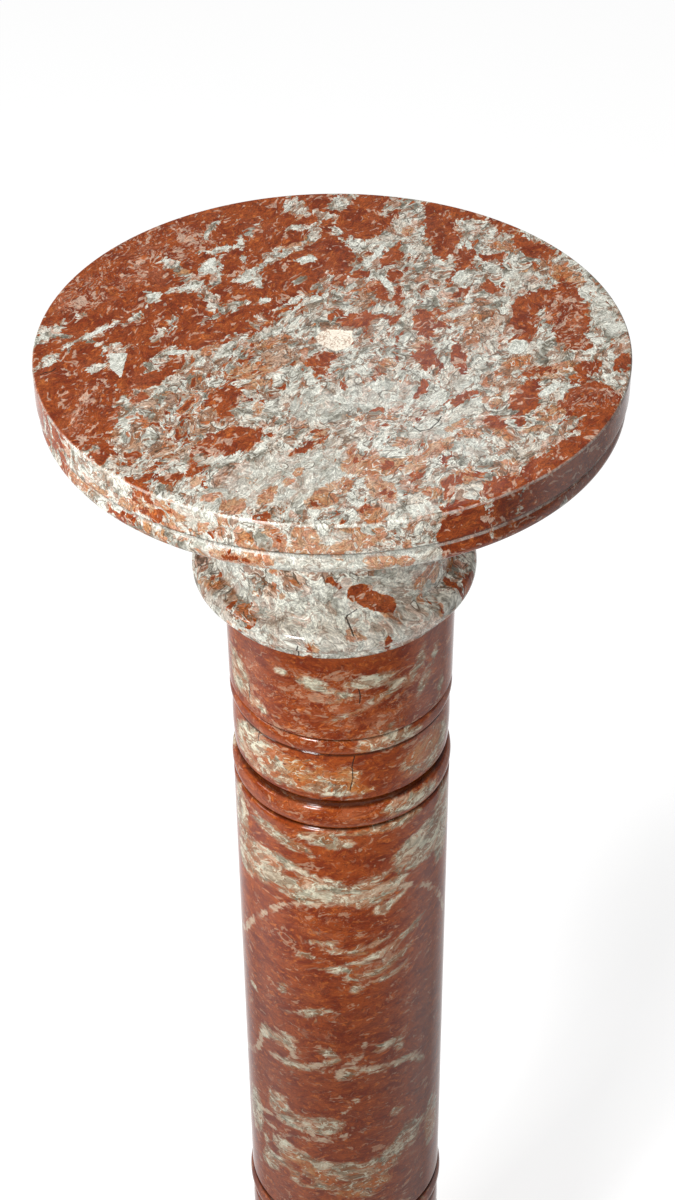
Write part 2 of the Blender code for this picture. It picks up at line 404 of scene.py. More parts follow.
def top_piece():
    """The slab: its face is an even net of small triangles, which carries the fine pattern."""
    rings = MeshRings(node_axis("top"), NODE_BOXES["top"][1].z)
    profile = top_profile()
    face_radius = profile.points[0][0]
    rings.centre(0.0)
    radius = FILL_CELL
    while radius < face_radius - TOP_CELL / 2:
        cell = FILL_CELL if radius < FILL_REACH else TOP_CELL
        steps = min(TOP_RIM_STEPS, round(STEPS_PER_RADIUS * radius / cell))
        rings.ring(radius, 0.0, steps)
        radius += cell
    outline = filled_in(softened(profile.points, ARRIS_ROUNDING), LONGEST_RUN)
    for radius, depth in outline:
        rings.ring(radius, depth, TOP_RIM_STEPS)
    under_radius, under_depth = outline[-1]
    for share, steps in UNDERSIDE_RINGS:
        rings.ring(under_radius * share, under_depth, steps)
    rings.centre(under_depth)
    return rings.make("round_top")


def plinth_piece():
    low, high = NODE_BOXES["plinth"]
    width = high.x - low.x
    height = high.z - low.z
    shape = bmesh.new()
    bmesh.ops.create_cube(shape, size=1.0)
    for vertex in shape.verts:
        vertex.co.x *= width
        vertex.co.y *= width
        vertex.co.z = low.z + (vertex.co.z + 0.5) * height
    middle = low.z + height / 2
    upper_edges = [edge for edge in shape.edges if all(v.co.z > middle for v in edge.verts)]
    bmesh.ops.bevel(shape, geom=upper_edges, offset=PLINTH_CHAMFER, segments=1, affect="EDGES")
    bmesh.ops.bevel(
        shape, geom=list(shape.edges), offset=PLINTH_ARRIS, segments=PLINTH_ARRIS_RUNS, affect="EDGES",
    )
    long_edges = [edge for edge in shape.edges if edge.calc_length() > PLINTH_LONG_EDGE]
    bmesh.ops.subdivide_edges(shape, edges=long_edges, cuts=PLINTH_CUTS, use_grid_fill=True)
    mesh = bpy.data.meshes.new("square_plinth")
    shape.to_mesh(mesh)
    shape.free()
    mesh.shade_smooth()
    mesh.set_sharp_from_angle(angle=PLINTH_SMOOTH_ANGLE)
    return linked("square_plinth", mesh)


# Marble patches: x or degrees round from the front, y or height, half length, half width, and
# last the turn in degrees where there is one. A ground is the level where no patch lies: above
# zero is red, below it white. Lines are rows of points.

# The top's face
TOP_GROUND = -2.0
TOP_RED_GROUND = (
    (-72, 82, 96, 64, 42), (-128, -40, 50, 24, 100), (-92, -18, 26, 15, 60), (-70, 12, 34, 16, 10),
    (20, 124, 24, 16, 80), (4, 82, 17, 9, 90),
)
TOP_RED = (
    (18, 126, 20, 10, 80), (59, 112, 30, 9.5, 90), (66, 130, 20, 8, -28), (106, 90, 14, 8, -58),
    (93, 114, 12, 6, -48), (71, 80, 14, 6, 75), (31, 82, 16, 5, 68), (34, 66, 7, 4, 60),
    (16, 66, 5, 3.5, 20), (25, 50, 10, 3.4, 105), (35, 40, 8, 3.8, 95), (47, 16, 14, 6.5, 95),
    (55, 15, 5, 3.5), (98, 22, 24, 8, 90), (120, 26, 30, 11, 88), (112, 40, 16, 9, 20),
    (84, 50, 9, 2.4, 100), (62, 59, 8, 3, 65), (66, 45, 6, 3, 30), (3, 27, 6, 4, 60),
    (89, 82, 11, 3.4, 12), (12, 21, 10, 7, 30), (30, 22, 4, 6, 60), (-48, -84, 19, 11, 28),
    (-13, -89, 10, 3.6, 45), (-52, -48, 18, 5.5, 80), (-92, -121, 13, 5.5, 105), (-86, -108, 8, 3, 60),
    (-66, -107, 10, 2.6, 55), (-108, -92, 9, 6, 60), (-95, -47, 7, 3, 60), (-6, -18, 11, 7, 60),
    (-94, -94, 4, 3, 30), (-75, -112, 6, 3, 20), (48, -14, 13, 5, 92), (64, -14, 17, 4.6, 97),
    (63, -49, 10, 3.6, 40), (44, -41, 10, 2.3, 75), (94, -50, 15, 7, 72), (125, -52, 17, 13, 30),
    (124, -27, 13, 6, 58), (144, -18, 6, 4.4, 80), (124, -2, 10, 8, 90), (128, -72, 16, 10, 60),
    (112, -93, 14, 9, 48), (97, -108, 14, 7.5, 42), (78, -122, 15, 7.5, 36), (60, -136, 13, 6, 33),
    (26, -104, 7, 4, 10), (24, -124, 8, 3, -62), (53, -103, 7, 3, 80), (53, -121, 9, 3.2, 92),
    (78, -70, 7, 4, -60), (5, -38, 5, 2.6, 100), (103, -26, 9, 5, 20), (90.5, -69, 3.4, 2, 85),
    (38, -112, 5, 3, 60),
)
TOP_WHITE = (
    (-64.5, 75, 9, 3.4, 68), (-57, 92, 8, 2.6, 15), (-63, 89, 5, 2.4, 60), (-79, 70, 14, 4, -52),
    (-74, 54, 9, 3, 25), (-61, 60, 8, 2.2, 80), (-44, 66, 11, 3.6, 55), (-38, 57, 4, 2.4, 90),
    (-48, 96, 15, 1.7, 95), (-41, 113, 8, 2.6, 50), (-18, 113, 9, 3), (-10, 104, 10, 3.6, 75),
    (-20, 91, 12, 3.2, 40), (-30, 86, 8, 2.6, 62), (-13, 80.5, 6.5, 4, 15), (-17, 60, 3.6, 2.8, 60),
    (-33.5, 41, 3.4, 2.8, 40), (-92, 44, 7, 3.4, -50), (-63, 40, 16, 3.4, -78), (-52, 34, 8, 2.2, 40),
    (-85, 14, 10, 2.2, 70), (-119, 11, 13, 3.2, 42), (-127, 27, 8, 3.6, 75), (-142, 12, 11, 5, 62),
    (-101, 23, 7, 1.7, 65), (-10, 43, 10, 4, 15), (-18, 20, 20, 9, 35), (-37, 14, 6, 1.6, -65),
    (-46, 2, 9, 6, 30), (-19, 136, 13, 6, 100), (-3, 126, 7, 3.6, -30), (-65, 113, 9, 2.6, 70),
    (-2, 60, 8, 3, 60), (4, 140, 10, 6, 60), (45, 106, 24, 4.8, 92), (25, 86, 16, 3.4, 68),
    (14, 77, 8, 4, 80), (3, 108, 8, 2.6, 100), (34, 137, 10, 3.2, 58), (26, 126, 5, 2.4, 30),
    (50, 66, 18, 10, 60), (73, 94, 7, 3, 90), (84, 101, 15, 8, -22), (98, 62, 19, 8, 62),
    (66, 63, 8, 2.8, 62), (75, 66, 8, 2.2, 70), (109, 43, 9, 4, 50), (141, 18, 28, 7.5, 100),
    (124, 70, 24, 9, -55), (82, 120, 8, 3, 60), (-85, -15, 14, 4.6, 65), (-78, -7, 8, 3, 12),
    (-141, -14, 10, 4, 45), (-116, -20, 5, 2.4, 20), (-97, -56, 6, 3, 60), (-45, -76, 3, 2, 50),
    (105, -43, 9, 3, 46), (138, -30, 11, 5, 110), (104, -82, 19, 4.4, 40), (92, -6, 9, 6, 60),
    (70, -57, 9, 5, 20), (46, 18, 2, 1.4, 60), (113, -38, 5, 2, 30), (126, -36, 3, 2, 30), (86, -69, 3, 6),
)
TOP_CLEAN = (
    (-20, -112, 34, 20, 20), (-8, -55, 16, 12, 60), (22, -46, 24, 12, 5), (50, -74, 17, 10, 30),
    (70, -57, 12, 6, 30), (64, -36, 8, 6, 60), (98, 60, 14, 6, 62), (94, -5, 8, 6, 60),
    (-45, -128, 18, 10, 10), (40, -142, 14, 7, 30), (28, -128, 8, 6, 60), (140, 18, 20, 5, 100),
    (65, -90, 8, 9, 70), (-13, 80, 6, 4, 15), (66, 28, 9, 5, 30), (50, -50, 12, 5, 30),
)
TOP_TAN = (
    (20, -105, 15, 9, 10), (22, -122, 13, 6.5, -62), (18, -141, 8, 7), (-64, -118, 8, 3, 60),
    (-58, -128, 7, 3, 40), (-22, 99, 9, 7, 30), (-21, 122, 8, 6, 60), (100, 67, 3.4, 2.8, 60),
    (62, 34, 7, 3, 10), (74, 22, 6, 3, 30), (41, 108, 6, 3.4, 90), (-40, -24, 14, 7, 20),
    (-62, -6, 6, 4, 40), (-38, -36, 8, 4, 20), (45, -2, 8, 5, 60), (-36, -55, 7, 3, 80),
    (-5, -78, 5, 3, 70), (-46, -135, 7, 6, 40), (-38, -117, 5, 2.4, 35), (-30, -127, 8, 4, 70),
    (-16, -110, 4, 3, 60), (-5, -130, 9, 7, 60), (-20, -116, 5, 3, 60), (25, -66, 8, 3.4, 30),
    (60, -73, 8, 3.6, 30), (50, -90, 11, 5, 45), (32, -86, 5, 3.6, 70), (48, -127, 9, 4, -48),
    (66, -78, 5, 5, 60), (82, -80, 8, 4, -60), (95, -76, 9, 3, 25), (107, -62, 12, 6, 30),
    (78, -52, 6, 5, 60), (38, -103, 8, 6, 60), (82, -103, 4, 3.4, 60), (9, -100, 8, 5, 40),
    (3, -120, 8, 6, 60), (62, -112, 6, 5, 60), (13, -66, 4, 2.4, 30), (112, -26, 12, 6, 30),
    (-30, 2, 10, 5, 30), (90, 92, 10, 5, -20), (122, 62, 12, 7, -50), (-75, 70, 4, 3, 30),
    (92, -18, 8, 5, 20), (28, -17, 5, 5, 60),
)
TOP_ROUGH = (
    (-82, -72, 34, 24, 50), (-30, -8, 20, 14, 30), (20, 48, 16, 12, 60), (72, 22, 20, 14, 60),
    (118, 68, 24, 12, -55), (88, -30, 16, 12, 40), (10, 15, 16, 10, 30), (-60, -30, 18, 12, 60),
)
TOP_FLECKED = (
    (-112, 76, 44, 26, 62), (-84, 92, 30, 18, 55), (-110, -58, 24, 16, 60), (116, 20, 26, 14, 90),
    (124, -50, 16, 12, 30), (-130, 45, 24, 14, 70),
)
TOP_FOSSILS = (
    (98, 74, 8, 7, 30), (84, 69, 5, 4.4), (47.5, 37, 4, 3.6, 20), (-54, -68, 4.2, 5.2),
    (-26, -33, 3.2, 2.8), (33, -14, 3.6, 4.4, 60), (17, -87, 2.6, 2.4), (90, -70, 5.6, 7.6, 80),
    (-24, -104, 3, 2.6, 30), (46, -72, 7, 3.6, 38), (79, -55, 7, 5.4, 60), (24, -73, 6.5, 9, 80),
    (57, 64, 6, 4.6, 40), (-12, -103, 4, 3, 60), (110, -36, 3, 2.4), (68, 10, 3.6, 3), (98, 60, 3.4, 2.2),
    (28, -47, 6, 4, -30), (-58, -32, 4, 3.2), (85, 100, 7, 5, 10),
)
TOP_CLASTS = (
    (-13, 80.5, 5.6, 3.2, 15), (-64.5, 76, 7.4, 2.6, 68), (28.5, 56, 8.6, 2.2, -68),
    (106, -43, 8, 2.6, 48), (-78, -7, 6.4, 2.2, 8), (66, 63, 6.4, 1.9, 62), (-74, 54, 6.4, 1.6, 25),
    (25, 88, 10, 1.8, 68), (-45, 61, 4.5, 2.6, 30), (-57, 93, 5.6, 1.6, 12), (-119, 12, 8, 1.6, 45),
    (93, -5, 7, 4.6, 60), (-92, 46, 3.6, 2.4), (-38, 57, 3, 1.8, 90), (-33.5, 41, 2.4, 2.2),
    (73, 93, 4.4, 1.9, 92),
)
TRIANGLE_CLAST = ((-111.4, -6.9), (-101.9, -7.1), (-104.0, -29.3), (-110.0, -20.4))
TOP_CREVICE = ((-143.6, -25.4), (-141.6, -23.8), (-138.6, -22.9), (-137.2, -20.6))
SHELL_CRESCENT = ((39.3, -74.3), (41.6, -76.8), (46.5, -75.2), (50.5, -69.5), (52.1, -65.3))
TOP_LINES = (TOP_CREVICE, SHELL_CRESCENT)

# The mason's fill in the middle of the top, a rough repair that is sunk a little, in mm. The
# fractal's values are its roughness, the step between its layers and their number.
FILL_OUTLINE = (
    (-8.5, 5.8), (-5.6, 10.6), (-1.8, 12.8), (3.3, 12.3), (6.6, 11.2), (10.6, 11.5), (10.0, 6.5),
    (11.0, 1.9), (9.0, -2.6), (6.1, -5.3), (1.9, -7.4), (-1.9, -5.1), (-4.7, -2.3), (-7.5, 0.7),
)
FILL_SINK = 0.12
FILL_RELIEF = 0.45
FILL_EDGE = 0.7
FILL_GRAIN = 3.2 * MM
FILL_FRACTAL = (0.8, 2.2, 4)

# The top's side, with the fascia above and the bead below. TOP_ARRIS and BEAD_ARRIS are depths
# below the face of two arrises that carry a pale painted highlight, as far as ARRIS_REACH.
SIDE_GROUND = -2.4
SIDE_RED = (
    (-85, 985, 70, 60), (60, 985, 107, 90), (-36.3, 994, 10, 6, 90), (-43.5, 976.5, 9, 3.5),
    (-57.5, 987, 14, 2.6, 90), (-33, 989, 7, 3, 30), (-17, 975, 8, 2), (-9.5, 990, 6, 1.6, 95),
)
# The first four narrow upright strips, 61 to 69 degrees left of the front, are a painted reflection: the
# sheen on the polished side, drawn in as white.
SIDE_WHITE = (
    (-65.5, 993, 10, 2.2, 80), (-69, 989, 12, 1.6, 95), (-61.5, 994, 6, 1.2, 85), (-62, 983, 9, 1.5, 60),
    (-75, 978, 8, 2.2), (-66, 977, 7, 2, 10), (-37.5, 990.5, 3, 1.6, 60), (-35.5, 992.5, 2.4, 1.2),
    (-16.5, 996, 5, 4.4, 110), (35.4, 992, 3.2, 0.9, 80), (28.7, 995.8, 1.4, 0.7, 60),
    (30, 978, 3.4, 1.2, 80), (47.5, 975.5, 3, 2.2, 40), (76, 979, 4, 3), (-19, 978.5, 8, 1.4),
)
SIDE_TAN = (
    (-38, 989, 14, 4.5, 20), (-30, 993, 12, 3, -20), (-48, 984, 12, 3, 10), (-56, 979, 14, 4),
    (4, 989, 16, 5, 10), (-24.4, 987, 14, 2.8, 52), (-19.3, 996, 4, 3), (-15.5, 986, 10, 5, 115),
    (-14, 976, 10, 8, 90), (-11.5, 997, 5, 3, 90), (-9.5, 989, 8, 4.5, 95), (-36, 978, 5, 3, 90),
    (-19, 974, 18, 4), (3, 999, 5, 2.4), (-30, 984, 8, 3), (-5, 986, 12, 5), (-5, 993, 9, 7, 90),
    (0.5, 985, 6, 5, 90), (3, 998, 4, 2.4), (8, 996, 3, 2), (13, 985, 5, 3, 60), (8, 976, 8, 5),
    (13, 974, 5, 4), (-33, 976, 5, 3, 90), (-48, 994, 4, 2, 90),
)
ARRIS_REACH = 0.85
TOP_ARRIS = 0.9
BEAD_ARRIS = 20.0
# Painted shade: the slab's right side is darkened, where less light falls on it.
SIDE_PAINTED_SHADE = ((70, 985, 108, 80),)

# SIDE_CLEAN and all grooves are placed by millimetres round, not by degrees
SIDE_CLEAN = ((12, 976, 90, 9), (-70, 994, 24, 6), (-8, 990, 30, 8))
# Painted shade, with some dirt: darkening along the groove under the fascia.
TOP_GROOVES = ((0, 982.2, 900, 1.3),)

# Capital
CAPITAL_GROUND = -4.6
CAPITAL_RED = (
    (16.5, 884, 13.5, 4.8, -35), (22, 880, 8, 4.4, -38), (12.5, 891, 5.5, 2.2, -8),
    (1, 894, 4.5, 1.5, -40), (-2.5, 897, 2.5, 2.2), (-35, 868.5, 1.2, 0.7, 80), (-36, 866, 2, 0.8, 70),
    (-41, 858, 2.6, 0.8, 75), (-46, 862, 1, 1), (-48, 870.5, 2, 1.2, 45), (-41, 871.5, 1.5, 1, 60),
    (-66, 872, 2, 0.8, 60), (-10, 856.5, 6, 1, 90), (-11, 851, 2.4, 1.6), (68, 866, 7, 4, 20),
    (61, 868.5, 4, 1.6, 90), (70, 859.5, 10, 2.4, -20), (52, 858, 5, 1.4, -55), (45, 871.5, 1.6, 0.8, 60),
    (47.5, 866.5, 3, 0.9, 75), (56, 853, 4, 2, -60), (21, 864.5, 2.4, 1.2, 75), (24, 857, 3.6, 1.3, 80),
)
CAPITAL_TAN = (
    (-41, 898, 6, 1.6, 15), (-70, 869, 3, 2, 45), (47, 867, 5, 2, 70), (-30, 897, 6, 3, 20),
    (-20, 893, 5, 2), (-25, 884, 3, 2, 30), (-38, 879, 4, 1.4, 20), (-65, 870, 4, 1.6, 10),
    (7, 870, 3, 2.4), (10, 869, 4, 2.4), (-9, 867, 2.2, 1.2, 60), (24, 874, 4, 1.6, -30),
    (29, 873, 3, 2, 60), (42, 874, 3, 2, 60), (46, 883, 8, 5, 20), (55, 880, 8, 4, 30), (72, 877, 8, 4),
    (-8, 860, 4, 1.6, 90), (-36, 858, 4, 1.4, 90),
)
# The long thin bands from 853 to 867 mm follow the rim and the band under it: partly the stone's clean
# white, partly painted light where the rim catches it.
CAPITAL_CLEAN = (
    (12, 872, 48, 24), (0, 861, 75, 4), (-40, 862, 26, 5), (-56, 868, 14, 3), (10, 853, 40, 3),
    (-60, 882, 16, 9), (-34, 876, 22, 5), (12, 895, 12, 2.6, -10), (38, 891, 18, 6, -25), (0, 865, 60, 6),
)
CAPITAL_ROUGH = (
    (-35, 886, 20, 6, 10), (-62, 873, 14, 3), (-20, 896, 12, 5), (70, 876, 14, 6, 10), (-40, 868, 12, 5),
)
CAPITAL_FOSSILS = ((38.5, 873, 1.7, 1.9),)
# Painted shade, with some dirt: darkening along the groove under the rim and along the joint under the
# slab.
CAPITAL_GROOVES = ((0, 858.4, 500, 0.8), (0, 967.4, 900, 1.2))
CAPITAL_LINES = (
    ((10.5, 879.4), (4.8, 875.6), (5.6, 873.5), (7.2, 870.3)),
    ((-14.6, 863.5), (-15.2, 860.0), (-16.0, 857.6)),
    ((-16.8, 855.0), (-16.0, 852.0), (-16.2, 850.3)),
)

# Shaft
SHAFT_GROUND = 3.2
SHAFT_WHITE = (
    (-70, 694, 10, 22), (68, 688, 12, 30), (-66, 430, 9, 22), (64, 424, 10, 26), (-44, 407, 17, 6, -30),
    (-20, 399, 20, 6, -5), (14, 399, 20, 6, 5), (-58, 756, 16, 11), (-66, 806, 8, 14),
    (20, 815, 16, 3, 25), (-14, 826, 8, 4.6, -15), (-7, 822, 5, 2, -20), (15, 827, 12, 4.6, 5),
    (28, 822, 7, 3.6, -10), (4, 818, 5, 2.2), (38, 822, 7, 3, 60), (46, 815, 10, 3, 65),
    (43, 832, 6, 2.4, 70), (54, 828, 8, 2.6, 75), (60, 800, 8, 3, 80), (-56, 806, 14, 2.6, 105),
    (-45, 796, 5, 2.2, -30), (-30, 829, 2.6, 1.8), (0, 815, 8, 1, 10), (0, 803, 7, 1.4, 15),
    (14, 790, 10, 2, 10), (24, 780.5, 16, 6), (-48, 759, 24, 14), (-24, 755, 24, 13), (2, 753, 19, 11),
    (54, 756, 22, 14), (42, 728, 18, 5), (15, 715, 26, 3.2), (-36, 703, 17, 4.6, -15),
    (-8, 709, 16, 4.6, -8), (50, 688, 24, 15, 12), (-42, 672, 32, 15, 10), (-15, 668, 22, 12, 4),
    (17, 668, 22, 11, 18), (-66, 662, 12, 12), (24, 652, 10, 3.4, 20), (6, 586, 4, 3.6, 40),
    (-10, 625, 9, 1.7, 10), (2, 618, 10, 1.9, -5), (14, 622, 9, 1.8, 15), (24, 615, 11, 2.2, 20),
    (30, 605, 10, 2.4, 30), (10, 608, 9, 1.7), (18, 599, 11, 2.2, 15), (-4, 604, 8, 1.6, 5),
    (28, 592, 10, 2, 10), (-18, 612, 8, 1.6, -10), (36, 622, 9, 2, 25), (-36, 575, 4.4, 3.6, 60),
    (-62, 555, 4, 3), (-20, 562, 11, 2, 20), (-10, 528, 5, 3.4, -20), (-33, 533, 4, 2.4),
    (26, 530, 10, 3.2, 10), (33, 524, 5, 3, 90), (40, 507, 8, 3.6, -25), (6, 483, 2, 2),
    (-53, 519, 8, 4.4, 65), (-41, 525, 10, 3.2), (-25, 510, 16, 3.4, 5), (2, 512, 8, 5, 20),
    (16, 511, 16, 3.8, -4), (34, 509, 13, 3.4, -6), (47, 501, 7, 3.4, -60), (-8, 519, 7, 2.6, 30),
    (-43, 462, 11, 8, 60), (-18, 456, 17, 7, 10), (-14, 463, 6, 2, 15), (-33, 451, 12, 5), (-5, 463, 5, 2),
    (32, 463, 4, 3.6, 60), (-34, 420, 16, 9, -14), (-14, 413, 15, 9), (4, 413, 14, 9, 4),
    (22, 415, 18, 9, 14), (40, 431, 14, 11, 60), (30, 424, 12, 7, 30), (-5, 404, 12, 2.6),
    (15, 397, 16, 5), (-50, 401, 14, 8, 60), (-30, 396, 10, 5), (5, 390, 14, 4), (50, 436, 6, 4),
)
SHAFT_RED = (
    (-17, 765, 4.5, 3.2, -20), (-20, 770, 6, 1.8), (19, 758, 11, 10, 20), (38, 766, 8, 3.2),
    (0, 742, 60, 2.4), (-52, 752, 8, 1.6, -30), (30, 745, 16, 3), (-40, 660, 5, 3, 20),
    (-28, 676, 7, 3, -10), (5, 678, 9, 3, 10), (25, 676, 7, 3, 20), (-55, 674, 5, 2), (-8, 657, 6, 2, 10),
    (-24, 398, 5, 4, 30), (-38, 398, 6, 3, 50), (-48, 412, 6, 4),
)
SHAFT_TAN = (
    (-26, 762, 8, 5), (0, 760, 14, 8), (10, 750, 12, 5), (50, 760, 16, 10), (-20, 755, 10, 5),
    (12, 780, 4, 4), (-30, 414, 14, 6), (-16, 408, 7, 4), (62, 420, 8, 14), (20, 398, 14, 5),
    (0, 391, 14, 4), (-28, 430, 6, 2, 10), (-40, 462, 3, 3),
)
SHAFT_CLEAN = ((-14, 826, 5, 2.4, -15), (15, 827, 8, 2.4, 5), (-15, 666, 16, 4), (45, 691, 8, 4, 10))
SHAFT_ROUGH = ((0, 760, 60, 18), (24, 412, 18, 7, 5), (0, 396, 60, 12), (10, 716, 40, 6))
SHAFT_FLECKED = ((-10, 808, 60, 30), (10, 726, 60, 10), (22, 600, 20, 12, 20), (-10, 640, 30, 8))
# Painted shade, with some dirt: darkening along the shaft's ring grooves.
SHAFT_GROOVES = (
    (0, 785.7, 500, 1), (0, 774, 500, 0.9), (0, 736.5, 500, 3), (0, 718.2, 500, 1.1), (0, 286.1, 500, 1),
    (0, 297.7, 500, 0.9), (0, 335, 500, 3), (0, 353.4, 500, 1.1),
)

# Pale veins of the shaft, each a half width and a line
SHAFT_VEINS = (
    (2.0, ((-90, 578), (-70, 597), (-55, 622), (-45, 635), (-35, 648), (-20, 655), (0, 660), (20, 668),
           (35, 662), (50, 652), (60, 640), (70, 620), (78, 600))),
    (2.4, ((-80, 478), (-72, 484), (-62, 495), (-57, 505), (-55, 515), (-50, 523), (-42, 527), (-33, 523),
           (-30, 517))),
    (1.7, ((-48, 505), (-35, 508), (-20, 512), (-12, 516))),
    (1.8, ((12, 536), (9, 525), (2, 518), (-3, 512), (-4, 504))),
    (2.4, ((2, 517), (15, 512), (30, 510), (42, 508), (48, 503), (52, 495))),
    (1.3, ((7, 484), (2, 476), (-3, 469))),
    (1.6, ((-58, 432), (-40, 434), (-28, 440), (-10, 443), (2, 450), (12, 456))),
    (1.3, ((-60, 441), (-45, 447), (-30, 449), (-12, 446))),
)
SHAFT_LINES = (
    ((6.4, 773.0), (5.2, 766.0), (5.6, 758.0), (4.0, 748.0)),
    ((-53.0, 808.0), (-52.4, 802.0), (-53.4, 795.0)),
    ((-48.0, 773.0), (-49.0, 765.0)),
    ((8.4, 823.0), (9.4, 818.0), (8.8, 813.0)),
)

# Each field's least and greatest value, in millimetres inside its patches
FIELD_RANGES = {
    "red": (-7, 7), "clean": (-4, 6), "tan": (-4, 5), "rough": (-6, 10), "flecked": (-8, 10),
    "fossil": (-6, 9), "clast": (-5, 5), "fill": (-4, 6), "vein": (-6, 3), "deep": (-6, 8),
    "groove": (-3, 3), "line_side": (-4, 4), "line_near": (0, 6), "free": (0, 1), "arris": (-2, 1),
}
FAR = 60.0

# Most that a wide red patch counts for, so that pale patches still break it up
TOP_RED_LIMIT = 5.5
SIDE_RED_LIMIT = 4.0

# How the face's pattern slants through the slab, in x and y for each millimetre of depth
THROUGH_SLANT = (0.25, 0.35)

# Where the side's own patches take over from the face's: depth in mm, and degrees round
FACE_DEPTH = 0.01
# Depth in mm from which the side's painted shade is laid on.
PAINTED_SHADE_FROM = 0.3
SIDE_BEGINS = (0.2, 1.4)
SIDE_ENDS = (82, 92)

# How freely the widest noise moves the pattern: little where it shows, and most behind
TOP_FREE = 0.12
CAPITAL_FREE = (0.1, 0.7)
CAPITAL_HIDDEN = (70, 100)
SHAFT_FREE = (1.0, 0.1)
SHAFT_HIDDEN = (66, 96)
SHAFT_SHOWN_FROM = (365, 390)

# Painted shade: the shaft darkens downwards between these heights, where less light reaches it. The field
# of painted shade goes from light to dark.
SHAFT_FADE = (720, 450)
PAINTED_SHADE_SPAN = (-2, 7)


def ellipse_depth(x, y, patch):
    """Millimetres inside a patch, and less than zero outside it."""
    centre_x, centre_y, half_length, half_width, *turned = patch
    turn = math.radians(turned[0]) if turned else 0.0
    along = (x - centre_x) * math.cos(turn) + (y - centre_y) * math.sin(turn)
    across = (y - centre_y) * math.cos(turn) - (x - centre_x) * math.sin(turn)
    reach = np.hypot(along / half_length, across / half_width)
    return (1 - reach) * min(half_length, half_width)


def deepest(x, y, patches):
    depth = np.full(len(x), -FAR)
    for patch in patches:
        depth = np.maximum(depth, ellipse_depth(x, y, patch))
    return depth


def nearest_line(x, y, lines):
    """The distance to the nearest of some bent lines, and the same with a sign for the side."""
    near = np.full(len(x), FAR)
    side = np.full(len(x), FAR)
    runs = [run for points in lines for run in zip(points, points[1:])]
    for (x0, y0), (x1, y1) in runs:
        length = math.hypot(x1 - x0, y1 - y0)
        along = ((x - x0) * (x1 - x0) + (y - y0) * (y1 - y0)) / length ** 2
        share = np.clip(along, 0, 1)
        distance = np.hypot(x - x0 - share * (x1 - x0), y - y0 - share * (y1 - y0))
        signed = ((x - x0) * (y1 - y0) - (y - y0) * (x1 - x0)) / length
        closer = distance < near
        near = np.where(closer, distance, near)
        side = np.where(closer, signed, side)
    return near, side


def outline_depth(x, y, corners):
    """Millimetres inside a closed outline, and less than zero outside it."""
    closed = corners + corners[:1]
    near = nearest_line(x, y, [closed])[0]
    inside = np.zeros(len(x), dtype=bool)
    for (x0, y0), (x1, y1) in zip(closed, closed[1:]):
        if y0 == y1:
            continue
        crosses = (y0 > y) != (y1 > y)
        inside ^= crosses & (x < x0 + (y - y0) * (x1 - x0) / (y1 - y0))
    return np.where(inside, near, -near)


def smooth_step(value, low, high):
    share = np.clip((value - low) / (high - low), 0, 1)
    return share * share * (3 - 2 * share)


def coordinates(piece):
    points = np.empty(len(piece.data.vertices) * 3)
    piece.data.vertices.foreach_get("co", points)
    return points.reshape(-1, 3)


class Side:
    """A turned stone's vertices by degrees round from the front, by mm round and by height."""

    def __init__(self, piece, node, radius):
        points = coordinates(piece)
        self.scale = math.radians(1) * radius / MM
        self.degrees = np.degrees(np.arctan2(points[:, 0] - node_axis(node), -points[:, 1]))
        self.around = self.degrees * math.radians(1) * radius / MM
        self.height = points[:, 2] / MM

    def deepest(self, patches):
        """The field of patches that are placed by degrees round."""
        unrolled = [(degrees * self.scale, *rest) for degrees, *rest in patches]
        return deepest(self.around, self.height, unrolled)

    def deepest_in_mm(self, patches):
        """The field of patches that are placed by millimetres round."""
        return deepest(self.around, self.height, patches)

    def nearest_line(self, lines):
        unrolled = [[(degrees * self.scale, height) for degrees, height in points] for points in lines]
        return nearest_line(self.around, self.height, unrolled)


def red_level(ground, limited, white, red):
    """The red field: the ground, raised by wide red patches, cut by white ones, then red again."""
    return np.maximum(np.minimum(np.maximum(ground, limited), -white), red)


def within(name, values):
    return np.clip(values, *FIELD_RANGES[name])


def paint(piece, **fields):
    """Stores the pattern's fields on the vertices. A field left out stays far from its patches."""
    count = len(piece.data.vertices)
    for name, (low, high) in FIELD_RANGES.items():
        empty = high if name == "line_near" else low
        values = within(name, fields.get(name, np.full(count, float(empty))))
        attribute = piece.data.attributes.new(name, "FLOAT", "POINT")
        attribute.data.foreach_set("value", np.ascontiguousarray(values, dtype=np.float32))


def roughen_fill(piece, fill):
    """Sinks the fill and makes it uneven, with a crisp edge."""
    points = coordinates(piece)
    inside = smooth_step(fill, 0.0, FILL_EDGE)
    for index in np.nonzero(inside > 0)[0]:
        x, y, z = points[index]
        grain = noise.fractal(Vector((x, y, 0.0)) / FILL_GRAIN, *FILL_FRACTAL)
        drop = FILL_SINK + FILL_RELIEF * min(1.0, abs(grain))
        points[index, 2] = z - inside[index] * drop * MM
    piece.data.vertices.foreach_set("co", points.ravel())


